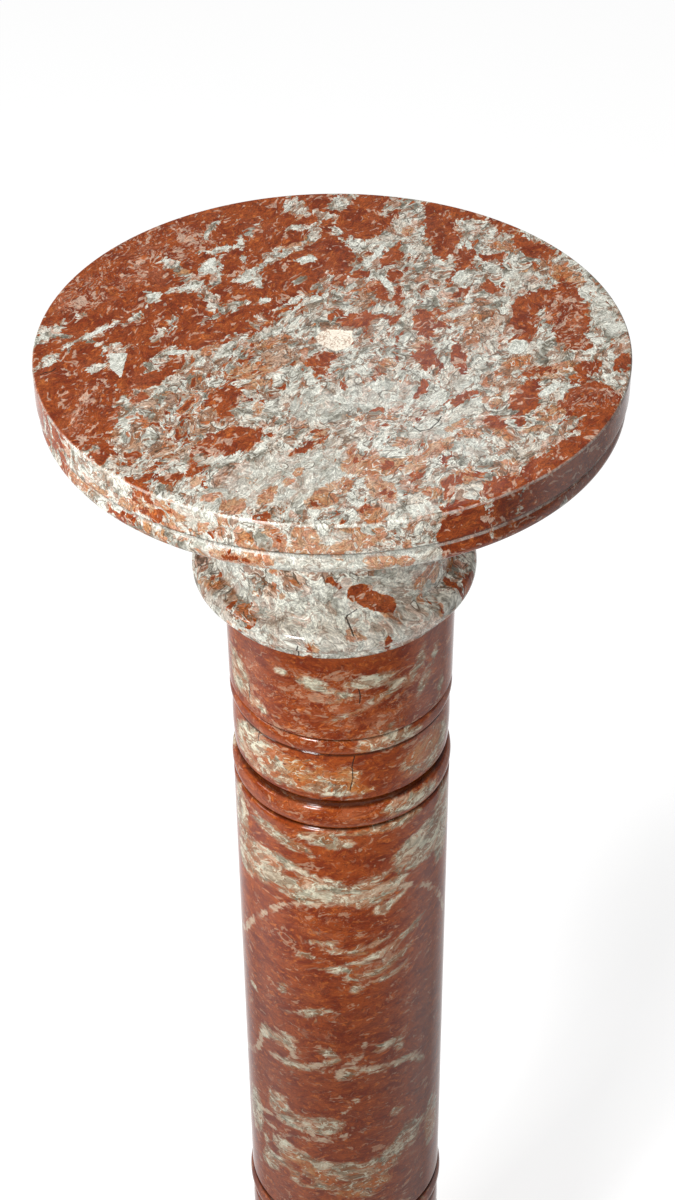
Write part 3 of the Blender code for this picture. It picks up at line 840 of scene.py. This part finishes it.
def paint_top(piece):
    points = coordinates(piece)
    depth = (NODE_BOXES["top"][1].z - points[:, 2]) / MM
    x = (points[:, 0] - node_axis("top")) / MM + THROUGH_SLANT[0] * depth
    y = points[:, 1] / MM + THROUGH_SLANT[1] * depth
    side = Side(piece, "top", TOP_RADIUS)
    face_red = red_level(
        TOP_GROUND, np.minimum(deepest(x, y, TOP_RED_GROUND), TOP_RED_LIMIT),
        deepest(x, y, TOP_WHITE), deepest(x, y, TOP_RED),
    )
    side_red = red_level(
        SIDE_GROUND, np.minimum(side.deepest(SIDE_RED), SIDE_RED_LIMIT), side.deepest(SIDE_WHITE), -FAR,
    )
    face_tan = deepest(x, y, TOP_TAN)
    side_tan = side.deepest(SIDE_TAN)
    on_side = smooth_step(depth, *SIDE_BEGINS) * (1 - smooth_step(np.abs(side.degrees), *SIDE_ENDS))
    # Nearness to the arrises, which carry a pale painted highlight.
    arris_near = np.minimum(np.abs(depth - TOP_ARRIS), np.abs(depth - BEAD_ARRIS))

    on_face = depth < FACE_DEPTH
    line_near, line_side = nearest_line(x, y, TOP_LINES)
    fill = np.where(on_face, outline_depth(x, y, FILL_OUTLINE), -FAR)
    # Painted shade darkens the slab's right side, and painted shade darkens the groove under the fascia.
    paint(
        piece, fill=fill, flecked=deepest(x, y, TOP_FLECKED),
        red=within("red", face_red) * (1 - on_side) + within("red", side_red) * on_side,
        tan=within("tan", face_tan) * (1 - on_side) + within("tan", side_tan) * on_side,
        deep=np.where(depth > PAINTED_SHADE_FROM, side.deepest(SIDE_PAINTED_SHADE), -FAR),
        clean=np.where(on_face, deepest(x, y, TOP_CLEAN), side.deepest_in_mm(SIDE_CLEAN)),
        rough=np.where(on_face, deepest(x, y, TOP_ROUGH), -FAR),
        fossil=np.where(on_face, deepest(x, y, TOP_FOSSILS), -FAR),
        clast=np.maximum(deepest(x, y, TOP_CLASTS), outline_depth(x, y, TRIANGLE_CLAST)),
        groove=side.deepest_in_mm(TOP_GROOVES), arris=ARRIS_REACH - arris_near,
        line_near=np.where(on_face, line_near, FAR), line_side=line_side,
        free=np.full(len(x), TOP_FREE),
    )
    roughen_fill(piece, fill)


def paint_capital(piece):
    side = Side(piece, "capital", SHAFT_RADIUS)
    line_near, line_side = side.nearest_line(CAPITAL_LINES)
    shown_free, hidden_free = CAPITAL_FREE
    hidden = smooth_step(np.abs(side.degrees), *CAPITAL_HIDDEN)
    paint(
        piece, red=np.maximum(side.deepest(CAPITAL_RED), CAPITAL_GROUND), tan=side.deepest(CAPITAL_TAN),
        clean=side.deepest(CAPITAL_CLEAN), rough=side.deepest(CAPITAL_ROUGH),
        fossil=side.deepest(CAPITAL_FOSSILS), groove=side.deepest_in_mm(CAPITAL_GROOVES),
        line_near=line_near, line_side=line_side,
        free=shown_free + (hidden_free - shown_free) * hidden,
    )


def paint_shaft(piece):
    side = Side(piece, "shaft", SHAFT_RADIUS)
    vein = np.full(len(side.height), -FAR)
    for half_width, points in SHAFT_VEINS:
        vein = np.maximum(vein, half_width - side.nearest_line([points])[0])
    line_near, line_side = side.nearest_line(SHAFT_LINES)
    hidden_free, shown_free = SHAFT_FREE
    shown = 1 - smooth_step(np.abs(side.degrees), *SHAFT_HIDDEN)
    shown = shown * smooth_step(side.height, *SHAFT_SHOWN_FROM)
    # Painted shade: the shaft is darkened downwards, where less light reaches it.
    fade_from, fade_to = SHAFT_FADE
    light, dark = PAINTED_SHADE_SPAN
    fade = smooth_step(-side.height, -fade_from, -fade_to)
    paint(
        piece, red=red_level(SHAFT_GROUND, -FAR, side.deepest(SHAFT_WHITE), side.deepest(SHAFT_RED)),
        tan=side.deepest(SHAFT_TAN), clean=side.deepest(SHAFT_CLEAN), rough=side.deepest(SHAFT_ROUGH),
        flecked=side.deepest(SHAFT_FLECKED), vein=vein, groove=side.deepest_in_mm(SHAFT_GROOVES),
        line_near=line_near, line_side=line_side,
        free=hidden_free + (shown_free - hidden_free) * shown,
        deep=light + (dark - light) * fade,
    )


def paint_plain(piece, red, free):
    """The fields of a stone that the pattern's own noise colours."""
    count = len(piece.data.vertices)
    paint(piece, red=np.full(count, float(red)), flecked=np.zeros(count), free=np.full(count, free))


# How far each seed moves a texture along x, y and z, in metres
SEED_STEP = (0.37, 0.61, 0.83)

# Share of a ridge's width that stays at its full strength
CREST_SHARE = 0.3


class Graph:
    """A material's nodes, joined by short calls. A call takes sockets or plain numbers."""

    def __init__(self, name):
        self.material = bpy.data.materials.new(name)
        self.material.use_nodes = True
        self.tree = self.material.node_tree
        self.shader = self.tree.nodes["Principled BSDF"]

    def node(self, kind, inputs=(), **settings):
        made = self.tree.nodes.new(kind)
        for key, value in settings.items():
            setattr(made, key, value)
        for key, value in dict(inputs).items():
            self.put(value, made.inputs[key])
        return made

    def put(self, value, socket):
        if isinstance(value, bpy.types.NodeSocket):
            self.tree.links.new(value, socket)
        else:
            socket.default_value = value

    def field(self, name):
        return self.node("ShaderNodeAttribute", attribute_name=name).outputs["Fac"]

    def place(self):
        return self.node("ShaderNodeTexCoord").outputs["Object"]

    def math(self, operation, first, second=0.0, third=0.0):
        made = self.node("ShaderNodeMath", operation=operation)
        for index, value in enumerate((first, second, third)):
            self.put(value, made.inputs[index])
        return made.outputs[0]

    def chain(self, operation, values):
        total = values[0]
        for value in values[1:]:
            total = self.math(operation, total, value)
        return total

    def add(self, *values):
        return self.chain("ADD", values)

    def times(self, *values):
        return self.chain("MULTIPLY", values)

    def most(self, *values):
        return self.chain("MAXIMUM", values)

    def centred(self, value, amount):
        """A value from 0 to 1 moved to swing about zero, by so much in all."""
        return self.times(self.math("SUBTRACT", value, 0.5), amount)

    def size(self, value):
        return self.math("ABSOLUTE", value)

    def span(self, value, low, high, out_low=0.0, out_high=1.0):
        """A smooth step from out_low to out_high as the value goes from low to high."""
        made = self.node("ShaderNodeMapRange", interpolation_type="SMOOTHSTEP")
        for key, number in zip(("Value", "From Min", "From Max", "To Min", "To Max"),
                               (value, low, high, out_low, out_high)):
            self.put(number, made.inputs[key])
        return made.outputs["Result"]

    def vector(self, operation, first, second):
        made = self.node("ShaderNodeVectorMath", operation=operation)
        self.put(first, made.inputs[0])
        self.put(second, made.inputs[3] if operation == "SCALE" else made.inputs[1])
        return made.outputs[0]

    def noise(self, place, size, detail=3.0, roughness=0.5, seed=0.0):
        """Noise whose features are about so many millimetres across, from 0 to 1."""
        return self._noise(place, size, detail, roughness, seed).outputs["Fac"]

    def swirl(self, place, size, detail, seed, reach):
        """The place pushed about by up to roughly a third of the reach, in millimetres."""
        made = self._noise(place, size, detail, 0.5, seed)
        push = self.vector("SUBTRACT", made.outputs["Color"], (0.5, 0.5, 0.5))
        return self.vector("ADD", place, self.vector("SCALE", push, reach * MM))

    def _seeded(self, place, size, seed):
        """A texture's place, moved to a stretch of its own by the seed, and its scale."""
        shifted = self.vector("ADD", place, tuple(seed * step for step in SEED_STEP))
        return {"Vector": shifted, "Scale": 1.0 / (size * MM)}

    def _noise(self, place, size, detail, roughness, seed):
        inputs = {**self._seeded(place, size, seed), "Detail": detail, "Roughness": roughness}
        return self.node("ShaderNodeTexNoise", inputs)

    def _cells(self, place, size, feature, seed):
        return self.node("ShaderNodeTexVoronoi", self._seeded(place, size, seed), feature=feature)

    def cell_edges(self, place, size, seed):
        return self._cells(place, size, "DISTANCE_TO_EDGE", seed).outputs["Distance"]

    def cell_shades(self, place, size, seed):
        """Three numbers from 0 to 1 for each cell."""
        colour = self._cells(place, size, "F1", seed).outputs["Color"]
        return self.node("ShaderNodeSeparateXYZ", {"Vector": colour}).outputs

    def ridge(self, value, width):
        """1 along the middle level of a noise, falling to 0 at so far from it."""
        off_middle = self.size(self.math("SUBTRACT", value, 0.5))
        return self.span(off_middle, CREST_SHARE * width, width, 1.0, 0.0)

    def mix(self, share, first, second, blend="MIX"):
        made = self.node("ShaderNodeMix", data_type="RGBA", blend_type=blend)
        made.clamp_factor = True
        self.put(share, made.inputs[0])
        self.put(first, made.inputs[6])
        self.put(second, made.inputs[7])
        return made.outputs[2]

    def grey(self, value):
        """A plain number turned into a grey colour."""
        made = self.node("ShaderNodeCombineColor")
        for socket in made.inputs:
            self.put(value, socket)
        return made.outputs[0]


def srgb(red, green, blue):
    """A colour given in the 0 to 255 steps of a picture."""
    def linear(value):
        value /= 255
        return value / 12.92 if value <= 0.04045 else ((value + 0.055) / 1.055) ** 2.4
    return (linear(red), linear(green), linear(blue), 1.0)


DEEP_RED = srgb(130, 48, 12)
RED = srgb(164, 76, 27)
DUSTY_RED = srgb(176, 98, 64)
BRIGHT_RED = srgb(194, 104, 46)
PALE_FLECK = srgb(236, 208, 184)
PALE_VEIN = srgb(216, 196, 178)
WHITE = srgb(238, 237, 224)
CLEAN_WHITE = srgb(240, 241, 230)
CLEAN_GREY = srgb(188, 188, 174)
GREY = srgb(136, 131, 116)
PINK_GREY = srgb(196, 150, 118)
BROWN_GREY = srgb(148, 92, 54)
DARK_LINE = srgb(82, 64, 46)
TAN = srgb(202, 142, 90)
ORANGE = srgb(192, 104, 40)
DARK_BROWN = srgb(96, 40, 14)
FILL_CREAM = srgb(255, 244, 226)
FILL_SPECK = srgb(176, 134, 106)
CRACK_SHADE = srgb(40, 30, 24)
AMBER = srgb(255, 240, 205)


# The swirls of the bedding, from wide to fine: size in mm, detail, seed and reach in mm
SWIRLS = ((30, 2, 1, 16), (7, 1, 2, 5.0), (2.2, 0, 3, 1.1))

# The shell pieces of the white ground: size in mm and seed
SHELLS = (5.6, 20)
SMALL_SHELLS = (1.7, 21)

# The shader's own faint relief
BUMP_STRENGTH = 0.06
BUMP_HEIGHT = 0.6 * MM

# How one stone's marble may differ from the next
PLAIN_LOOK = {
    "detail": 1.0,  # strength of the pale flecks and of the grain
    "softness": 0.03,  # half width of the step between red and white
    "paler": 0.0,  # how far white gains on grey, pink and brown
    "shade": 1.0,  # brightness of the whole stone: painted light and shade for how much light falls on it
    "lines": 1.0,  # strength of the dark outlines and the pale curls
    "gloss": 0.36,  # reflection where the surface faces the eye
    "firm": 0.13,  # how closely the red keeps to its patches
    "crumbling": 2.2,  # how far small noise breaks the patches up
    "calmness": 0.12,  # how softly the white ground turns grey
    "cleaner": 0.5,  # how white its clean patches are
    "worn": 0.05,  # the polish's least roughness
    "warmth": 0.25,  # share of amber in the colour
}


class Marble(Graph):
    """Red and white fossil marble: noise in a swirled bedding, around the painted fields."""

    def __init__(self, name, turn, stretch, **choices):
        super().__init__(name)
        self.look = {**PLAIN_LOOK, **choices}
        self.bedded = self.node("ShaderNodeMapping", {
            "Vector": self.place(), "Rotation": tuple(math.radians(angle) for angle in turn),
            "Scale": stretch,
        }, vector_type="TEXTURE").outputs[0]
        self.swirled = self.bedded
        for size, detail, seed, reach in SWIRLS:
            self.swirled = self.swirl(self.swirled, size, detail, seed, reach)
        self.clean = self.span(self.add(self.field("clean"), self.wobble(7, 3, 0.6, 4, 10.0)), -0.6, 2.0)
        self.rough = self.span(self.field("rough"), -4, 5)
        self.flecked = self.span(self.field("flecked"), -6, 6)
        # The arrises, which get a pale painted highlight and a rougher polish.
        self.arris = self.span(self.field("arris"), 0.0, 0.5)

    def cloud(self, size, detail, roughness, seed):
        """Noise in the swirled bedding, given by size in mm, detail, roughness and seed."""
        return self.noise(self.swirled, size, detail, roughness, seed)

    def wobble(self, size, detail, roughness, seed, amount):
        """Noise that swings about zero, by so much in all."""
        return self.centred(self.cloud(size, detail, roughness, seed), amount)

    def blots(self, size, detail, roughness, seed, *steps):
        """Noise made into soft edged blots."""
        return self.span(self.cloud(size, detail, roughness, seed), *steps)

    def threads(self, size, detail, roughness, seed, width):
        """Noise made into thin winding lines."""
        return self.ridge(self.cloud(size, detail, roughness, seed), width)

    def level(self):
        """Above zero where the stone is red, and below it where it is white."""
        calm = self.span(self.clean, 0, 1, 1.0, 0.6)
        return self.add(
            self.times(self.field("red"), self.look["firm"]),
            self.times(self.wobble(60, 3, 0.55, 5, 6.0), self.field("free")),
            self.times(self.wobble(12, 3, 0.6, 6, 1.8), calm),
            self.times(self.wobble(3.6, 3, 0.6, 7, self.look["crumbling"]), calm),
        )

    def pale_flecks(self):
        """Specks, flakes, ribbons and curls in the red ground."""
        busy = 0.03 * (self.look["lines"] - 1.0)
        share = self.add(self.cloud(14, 3, 0.6, 12), self.times(self.flecked, 0.06))
        specks = self.add(
            self.cloud(1.25, 2, 0.6, 13), self.centred(share, 0.55), self.times(self.flecked, 0.07),
        )
        specks = self.span(specks, 0.66 - busy, 0.73 - busy)
        specks = self.times(specks, self.add(0.2, self.times(self.flecked, 0.4)))
        flakes = self.add(self.cloud(5.0, 3, 0.62, 44), self.centred(share, 0.9))
        flakes = self.span(flakes, 0.68 - busy, 0.705 - busy)
        ribbons = self.times(
            self.threads(15, 3, 0.55, 47, 0.028), self.blots(11, 3, 0.55, 48, 0.57 - busy, 0.61 - busy),
        )
        curls = self.times(
            self.threads(6.5, 1, 0.5, 14, 0.050), self.blots(5, 2, 0.5, 15, 0.55 - busy, 0.60 - busy),
            self.look["lines"],
        )
        return self.most(specks, flakes, ribbons, curls)

    def red_ground(self):
        """Cloudy red, with dusty stretches, pale flecks and darker threads."""
        colour = self.mix(self.blots(9, 5, 0.7, 8, 0.38, 0.60), DEEP_RED, RED)
        dust = self.add(0.25, self.times(self.flecked, 0.5))
        colour = self.mix(self.times(self.blots(16, 4, 0.6, 9, 0.50, 0.62), dust), colour, DUSTY_RED)
        colour = self.mix(self.blots(3.6, 4, 0.65, 10, 0.54, 0.68), colour, BRIGHT_RED)
        colour = self.mix(self.times(self.threads(5, 2, 0.6, 11, 0.020), 0.5), colour, DARK_BROWN)
        return self.mix(self.times(self.pale_flecks(), 0.72 * self.look["detail"]), colour, PALE_FLECK)

    def white_ground(self):
        """Shell pieces in greys and creams, with pink, brown, rusty, clean and tan patches."""
        look = self.look
        shades = self.cell_shades(self.swirled, *SHELLS)
        small_shades = self.cell_shades(self.swirled, *SMALL_SHELLS)
        tone = self.add(
            self.cloud(8.0, 4, 0.60, 16), self.centred(shades[0], 0.16),
            self.centred(small_shades[1], 0.05), look["paler"],
        )
        tone = self.span(tone, 0.48 - look["calmness"], 0.48 + 0.8 * look["calmness"])
        colour = self.mix(tone, GREY, WHITE)
        warm = self.add(self.cloud(11, 3, 0.58, 17), self.centred(shades[1], 0.12), -look["paler"])
        warm = self.times(self.span(warm, 0.49, 0.56), self.add(0.28, self.times(self.rough, 0.55)))
        colour = self.mix(warm, colour, PINK_GREY)
        brown = self.add(
            self.cloud(4.6, 3, 0.62, 18), self.times(self.rough, 0.05), self.centred(shades[2], 0.10),
            -look["paler"],
        )
        colour = self.mix(self.times(self.span(brown, 0.54, 0.575), 0.75), colour, BROWN_GREY)
        rust = self.span(self.add(self.cloud(8.5, 3, 0.60, 46), -look["paler"]), 0.565, 0.59)
        rust = self.times(rust, self.add(0.45, self.times(self.rough, 0.4)))
        colour = self.mix(rust, colour, BRIGHT_RED)
        clean_colour = self.mix(self.blots(7.0, 4, 0.66, 23, 0.38, 0.58), CLEAN_GREY, CLEAN_WHITE)
        colour = self.mix(self.times(self.clean, look["cleaner"]), colour, clean_colour)
        tan = self.add(self.times(self.field("tan"), 0.17), self.wobble(6, 3, 0.6, 19, 1.7))
        tan_colour = self.mix(self.blots(4.0, 3, 0.6, 22, 0.45, 0.55), TAN, ORANGE)
        colour = self.mix(self.times(self.span(tan, 0.0, 0.16), 0.75), colour, tan_colour)
        curls = self.times(self.threads(3.8, 1, 0.5, 24, 0.04), self.blots(4, 2, 0.5, 25, 0.49, 0.55))
        return self.mix(self.times(curls, 0.8), colour, WHITE)

    def dark_outlines(self):
        """Broken dark lines round the shell pieces, and loose dark threads."""
        edges = self.span(self.cell_edges(self.swirled, *SHELLS), 0.010, 0.060, 1.0, 0.0)
        edges = self.times(edges, self.blots(5, 2, 0.6, 26, 0.45, 0.53))
        loose = self.times(self.threads(3.6, 2, 0.62, 27, 0.024), self.blots(4.5, 2, 0.5, 45, 0.48, 0.53))
        strength = self.span(self.clean, 0, 1, 0.85 * self.look["lines"], 0.45 * self.look["lines"])
        return self.times(self.most(edges, loose), strength)

    def ground(self, outlines):
        """Red and white side by side, with pepper in the white and tan along the border."""
        level = self.level()
        white = self.mix(outlines, self.white_ground(), DARK_LINE)
        pepper = self.add(0.25, self.times(self.rough, 0.5))
        white = self.mix(self.times(self.blots(1.2, 2, 0.6, 28, 0.61, 0.67), pepper), white, DARK_BROWN)
        is_red = self.span(level, -self.look["softness"], self.look["softness"])
        colour = self.mix(is_red, white, self.red_ground())
        border = self.span(self.size(level), 0.02, 0.09, 1.0, 0.0)
        border = self.times(border, self.blots(5, 2, 0.5, 29, 0.50, 0.58), 0.5)
        return self.mix(border, colour, TAN)

    def with_markings(self, colour):
        """Veins, fossils with an outline and a pale wall, smooth pale clasts and a pale painted highlight
        along the arrises.
        """
        vein = self.span(self.add(self.field("vein"), self.wobble(5, 4, 0.6, 30, 11.0)), -0.5, 1.0)
        vein = self.times(vein, self.blots(9, 3, 0.6, 31, 0.38, 0.54, 0.15, 1.0), 0.85)
        colour = self.mix(vein, colour, PALE_VEIN)
        fossil = self.add(self.field("fossil"), self.wobble(3.4, 2, 0.5, 32, 3.0))
        whole = self.blots(8, 2, 0.5, 33, 0.42, 0.56)
        wall = self.times(self.span(fossil, 0.2, 0.5), self.span(fossil, 1.3, 1.8, 1.0, 0.0), whole)
        colour = self.mix(self.times(wall, 0.8), colour, WHITE)
        rim = self.times(self.span(self.size(fossil), 0.15, 0.42, 1.0, 0.0), whole)
        colour = self.mix(self.times(rim, 0.7), colour, DARK_LINE)
        clast = self.add(self.field("clast"), self.wobble(2.6, 3, 0.6, 34, 2.6))
        clast_colour = self.mix(self.blots(3, 4, 0.7, 35, 0.34, 0.56), CLEAN_GREY, CLEAN_WHITE)
        colour = self.mix(self.span(clast, -0.15, 0.2), colour, clast_colour)
        # A pale painted highlight along the arrises.
        painted_arris_highlight = self.times(self.arris, self.blots(5, 4, 0.7, 50, 0.38, 0.60, 0.10, 0.50))
        return self.mix(painted_arris_highlight, colour, CLEAN_WHITE)

    def with_grain(self, colour):
        """Fine grain; painted shade over the whole stone, on the slab's right side, down the shaft and in
        the grooves, where there is some dirt too; and the stone's own cast.
        """
        detail = self.look["detail"]
        shade = self.look["shade"]
        grain = self.blots(0.8, 2, 0.7, 36, 0.34, 0.66, 1.0 - 0.40 * detail, 1.0 + 0.34 * detail)
        grit = self.blots(1.9, 3, 0.6, 49, 0.36, 0.64, 1.0 - 0.18 * detail, 1.0 + 0.14 * detail)
        # Painted shade: the stone's brightness, its darkened stretches and its grooves.
        deep = self.span(self.field("deep"), *PAINTED_SHADE_SPAN, shade, 0.66 * shade)
        painted_groove_shade = self.span(self.field("groove"), -0.6, 0.6, 1.0, 0.30)
        for strength in (self.times(grain, grit), self.times(deep, painted_groove_shade)):
            colour = self.mix(1.0, colour, self.grey(strength), "MULTIPLY")
        return self.mix(self.look["warmth"], colour, AMBER, "MULTIPLY")

    def cracks(self):
        """1 on the thin open cracks."""
        off_line = self.size(self.add(self.field("line_side"), self.wobble(2, 2, 0.5, 37, 0.8)))
        past_end = self.times(self.span(self.field("line_near"), 0.8, 1.6), 4.0)
        return self.span(self.add(off_line, past_end), 0.22, 0.50, 1.0, 0.0)

    def fill_colour(self):
        share = self.centred(self.noise(self.bedded, 12, 1, 0.5, 40), 0.6)
        specks = self.span(self.add(self.noise(self.bedded, 1.1, 3, 0.7, 39), share), 0.55, 0.62)
        return self.mix(self.times(specks, 0.7), FILL_CREAM, FILL_SPECK)

    def polish(self, is_fill, outlines, cracks):
        """Gloss that fades at a glancing angle, a rough fill, and a faint relief."""
        look = self.look
        wear = self.blots(30, 4, 0.6, 41, 0.3, 0.7, look["worn"], look["worn"] + 0.06)
        roughness = self.add(wear, self.times(is_fill, 0.5), self.times(self.arris, 0.22))
        self.put(roughness, self.shader.inputs["Roughness"])
        facing = self.node("ShaderNodeLayerWeight").outputs["Facing"]
        gloss = self.span(facing, 0.34, 0.72, look["gloss"], 0.08 * look["gloss"])
        self.put(gloss, self.shader.inputs["Specular IOR Level"])
        relief = self.add(
            self.times(outlines, -0.6), self.times(cracks, -8.0),
            self.times(self.cloud(1.2, 3, 0.6, 42), 0.3), self.times(self.cloud(18, 2, 0.5, 43), 2.0),
        )
        bump = {"Height": relief, "Strength": BUMP_STRENGTH, "Distance": BUMP_HEIGHT}
        self.put(self.node("ShaderNodeBump", bump).outputs[0], self.shader.inputs["Normal"])

    def make(self):
        outlines = self.dark_outlines()
        cracks = self.cracks()
        colour = self.with_grain(self.with_markings(self.ground(outlines)))
        colour = self.mix(self.times(cracks, 0.9), colour, CRACK_SHADE)
        is_fill = self.span(self.add(self.field("fill"), self.wobble(1.6, 2, 0.5, 38, 0.8)), -0.1, 0.25)
        colour = self.mix(is_fill, colour, self.fill_colour())
        self.put(colour, self.shader.inputs["Base Color"])
        self.polish(is_fill, outlines, cracks)
        return self.material


def dress(piece, node, turn, stretch, **choices):
    """Gives a stone its marble. Turn and stretch set the run of its bedding."""
    piece.data.materials.append(Marble(node + "_marble", turn, stretch, **choices).make())
    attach(piece, "root")
    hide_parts(node)


round_top = top_piece()
paint_top(round_top)
dress(
    round_top, "top", turn=(0, 0, 66), stretch=(1.4, 1.0, 1.0), detail=0.8, lines=0.85, paler=0.01,
    shade=0.93, gloss=0.42, firm=0.15, crumbling=1.9, worn=0.10, warmth=0.0,
)

capital = turned_piece("turned_capital", "capital", capital_profile(), CAPITAL_STEPS)
paint_capital(capital)
dress(
    capital, "capital", turn=(0, 28, 0), stretch=(1.8, 1.8, 1.4), detail=0.8, paler=0.005, shade=0.98,
    gloss=0.5, firm=0.24, crumbling=1.6, calmness=0.10, cleaner=0.42, warmth=0.0,
)

shaft = turned_piece("ringed_shaft", "shaft", shaft_profile(), SHAFT_STEPS)
paint_shaft(shaft)
dress(
    shaft, "shaft", turn=(0, -10, 0), stretch=(1.5, 1.5, 0.9), detail=0.45, softness=0.30, paler=-0.03,
    shade=0.87, lines=0.35, firm=0.19, crumbling=1.4, calmness=0.16, warmth=0.5,
)

base = turned_piece("turned_base", "base", base_profile(), BASE_STEPS)
paint_plain(base, red=1.0, free=1.0)
dress(base, "base", turn=(8, 6, 0), stretch=(1.3, 1.3, 1.0), detail=0.8)

plinth = plinth_piece()
paint_plain(plinth, red=1.5, free=1.0)
dress(plinth, "plinth", turn=(0, 10, 30), stretch=(1.3, 1.1, 1.0), detail=0.8)


# Stage: pale floor, soft lights and the camera

FLOOR_SIZE = 10.0
FLOOR_SHADE = 0.55
FLOOR_GLOW = 0.72
FRONT_SHADE = 0.25
FRONT_REACH = (-0.65, 0.12)
FLOOR_ROUGHNESS = 0.9


def floor_material():
    """Near white behind the column, and a darker grey in front, which the polish reflects."""
    graph = Graph("floor_pale")
    ahead = graph.node("ShaderNodeSeparateXYZ", {"Vector": graph.place()}).outputs["Y"]
    tone = graph.span(ahead, *FRONT_REACH, FRONT_SHADE, 1.0)
    graph.put(graph.grey(graph.times(tone, FLOOR_SHADE)), graph.shader.inputs["Base Color"])
    graph.put(graph.grey(tone), graph.shader.inputs["Emission Color"])
    graph.shader.inputs["Emission Strength"].default_value = FLOOR_GLOW
    graph.shader.inputs["Roughness"].default_value = FLOOR_ROUGHNESS
    graph.shader.inputs["Specular IOR Level"].default_value = 0.0
    return graph.material


floor_mesh = bpy.data.meshes.new("floor")
reach = FLOOR_SIZE / 2
floor_corners = [(-reach, -reach, 0), (reach, -reach, 0), (reach, reach, 0), (-reach, reach, 0)]
floor_mesh.from_pydata(floor_corners, [], [(0, 1, 2, 3)])
floor = linked("floor", floor_mesh)
floor_mesh.materials.append(floor_material())


def soft_light(name, place, aim, size, power, colour=(1.0, 1.0, 1.0)):
    light = bpy.data.lights.new(name, "AREA")
    light.shape = "RECTANGLE"
    light.size, light.size_y = size
    light.energy = power
    light.color = colour
    holder = linked(name, light)
    holder.location = place
    holder.rotation_euler = (Vector(aim) - Vector(place)).to_track_quat("-Z", "Y").to_euler()


COLUMN_HEAD = (0.0, 0.0, 0.95)
soft_light("key", (-0.9, -1.2, 3.3), COLUMN_HEAD, (0.4, 0.4), 45)
soft_light("front", (-1.0, -1.75, 1.62), COLUMN_HEAD, (0.5, 0.42), 30)
soft_light("side", (-2.4, -0.5, 1.75), COLUMN_HEAD, (1.0, 0.4), 9)
soft_light("window", (0.12, 1.82, 2.31), (0.04, -0.07, 1.0), (0.24, 0.24), 0.26, (0.78, 0.90, 1.0))

WORLD_GLOW = 0.30
world = bpy.data.worlds.new("studio")
world.use_nodes = True
world.node_tree.nodes["Background"].inputs["Color"].default_value = (1.0, 1.0, 1.0, 1.0)
world.node_tree.nodes["Background"].inputs["Strength"].default_value = WORLD_GLOW
bpy.context.scene.world = world
bpy.context.scene.view_settings.view_transform = "Standard"

CAMERA_LENS = 72.0
CAMERA_SENSOR = 36.0
CAMERA_PLACE = (-0.0015, -1.0127, 1.6637)
CAMERA_TILT = math.radians(50.65)
CAMERA_ROLL = math.radians(-0.57)
camera_data = bpy.data.cameras.new("camera")
camera_data.lens = CAMERA_LENS
camera_data.sensor_width = CAMERA_SENSOR
camera = linked("camera", camera_data)
camera_turn = Matrix.Rotation(CAMERA_TILT, 4, "X") @ Matrix.Rotation(CAMERA_ROLL, 4, "Z")
camera.matrix_world = Matrix.Translation(CAMERA_PLACE) @ camera_turn
bpy.context.scene.camera = camera
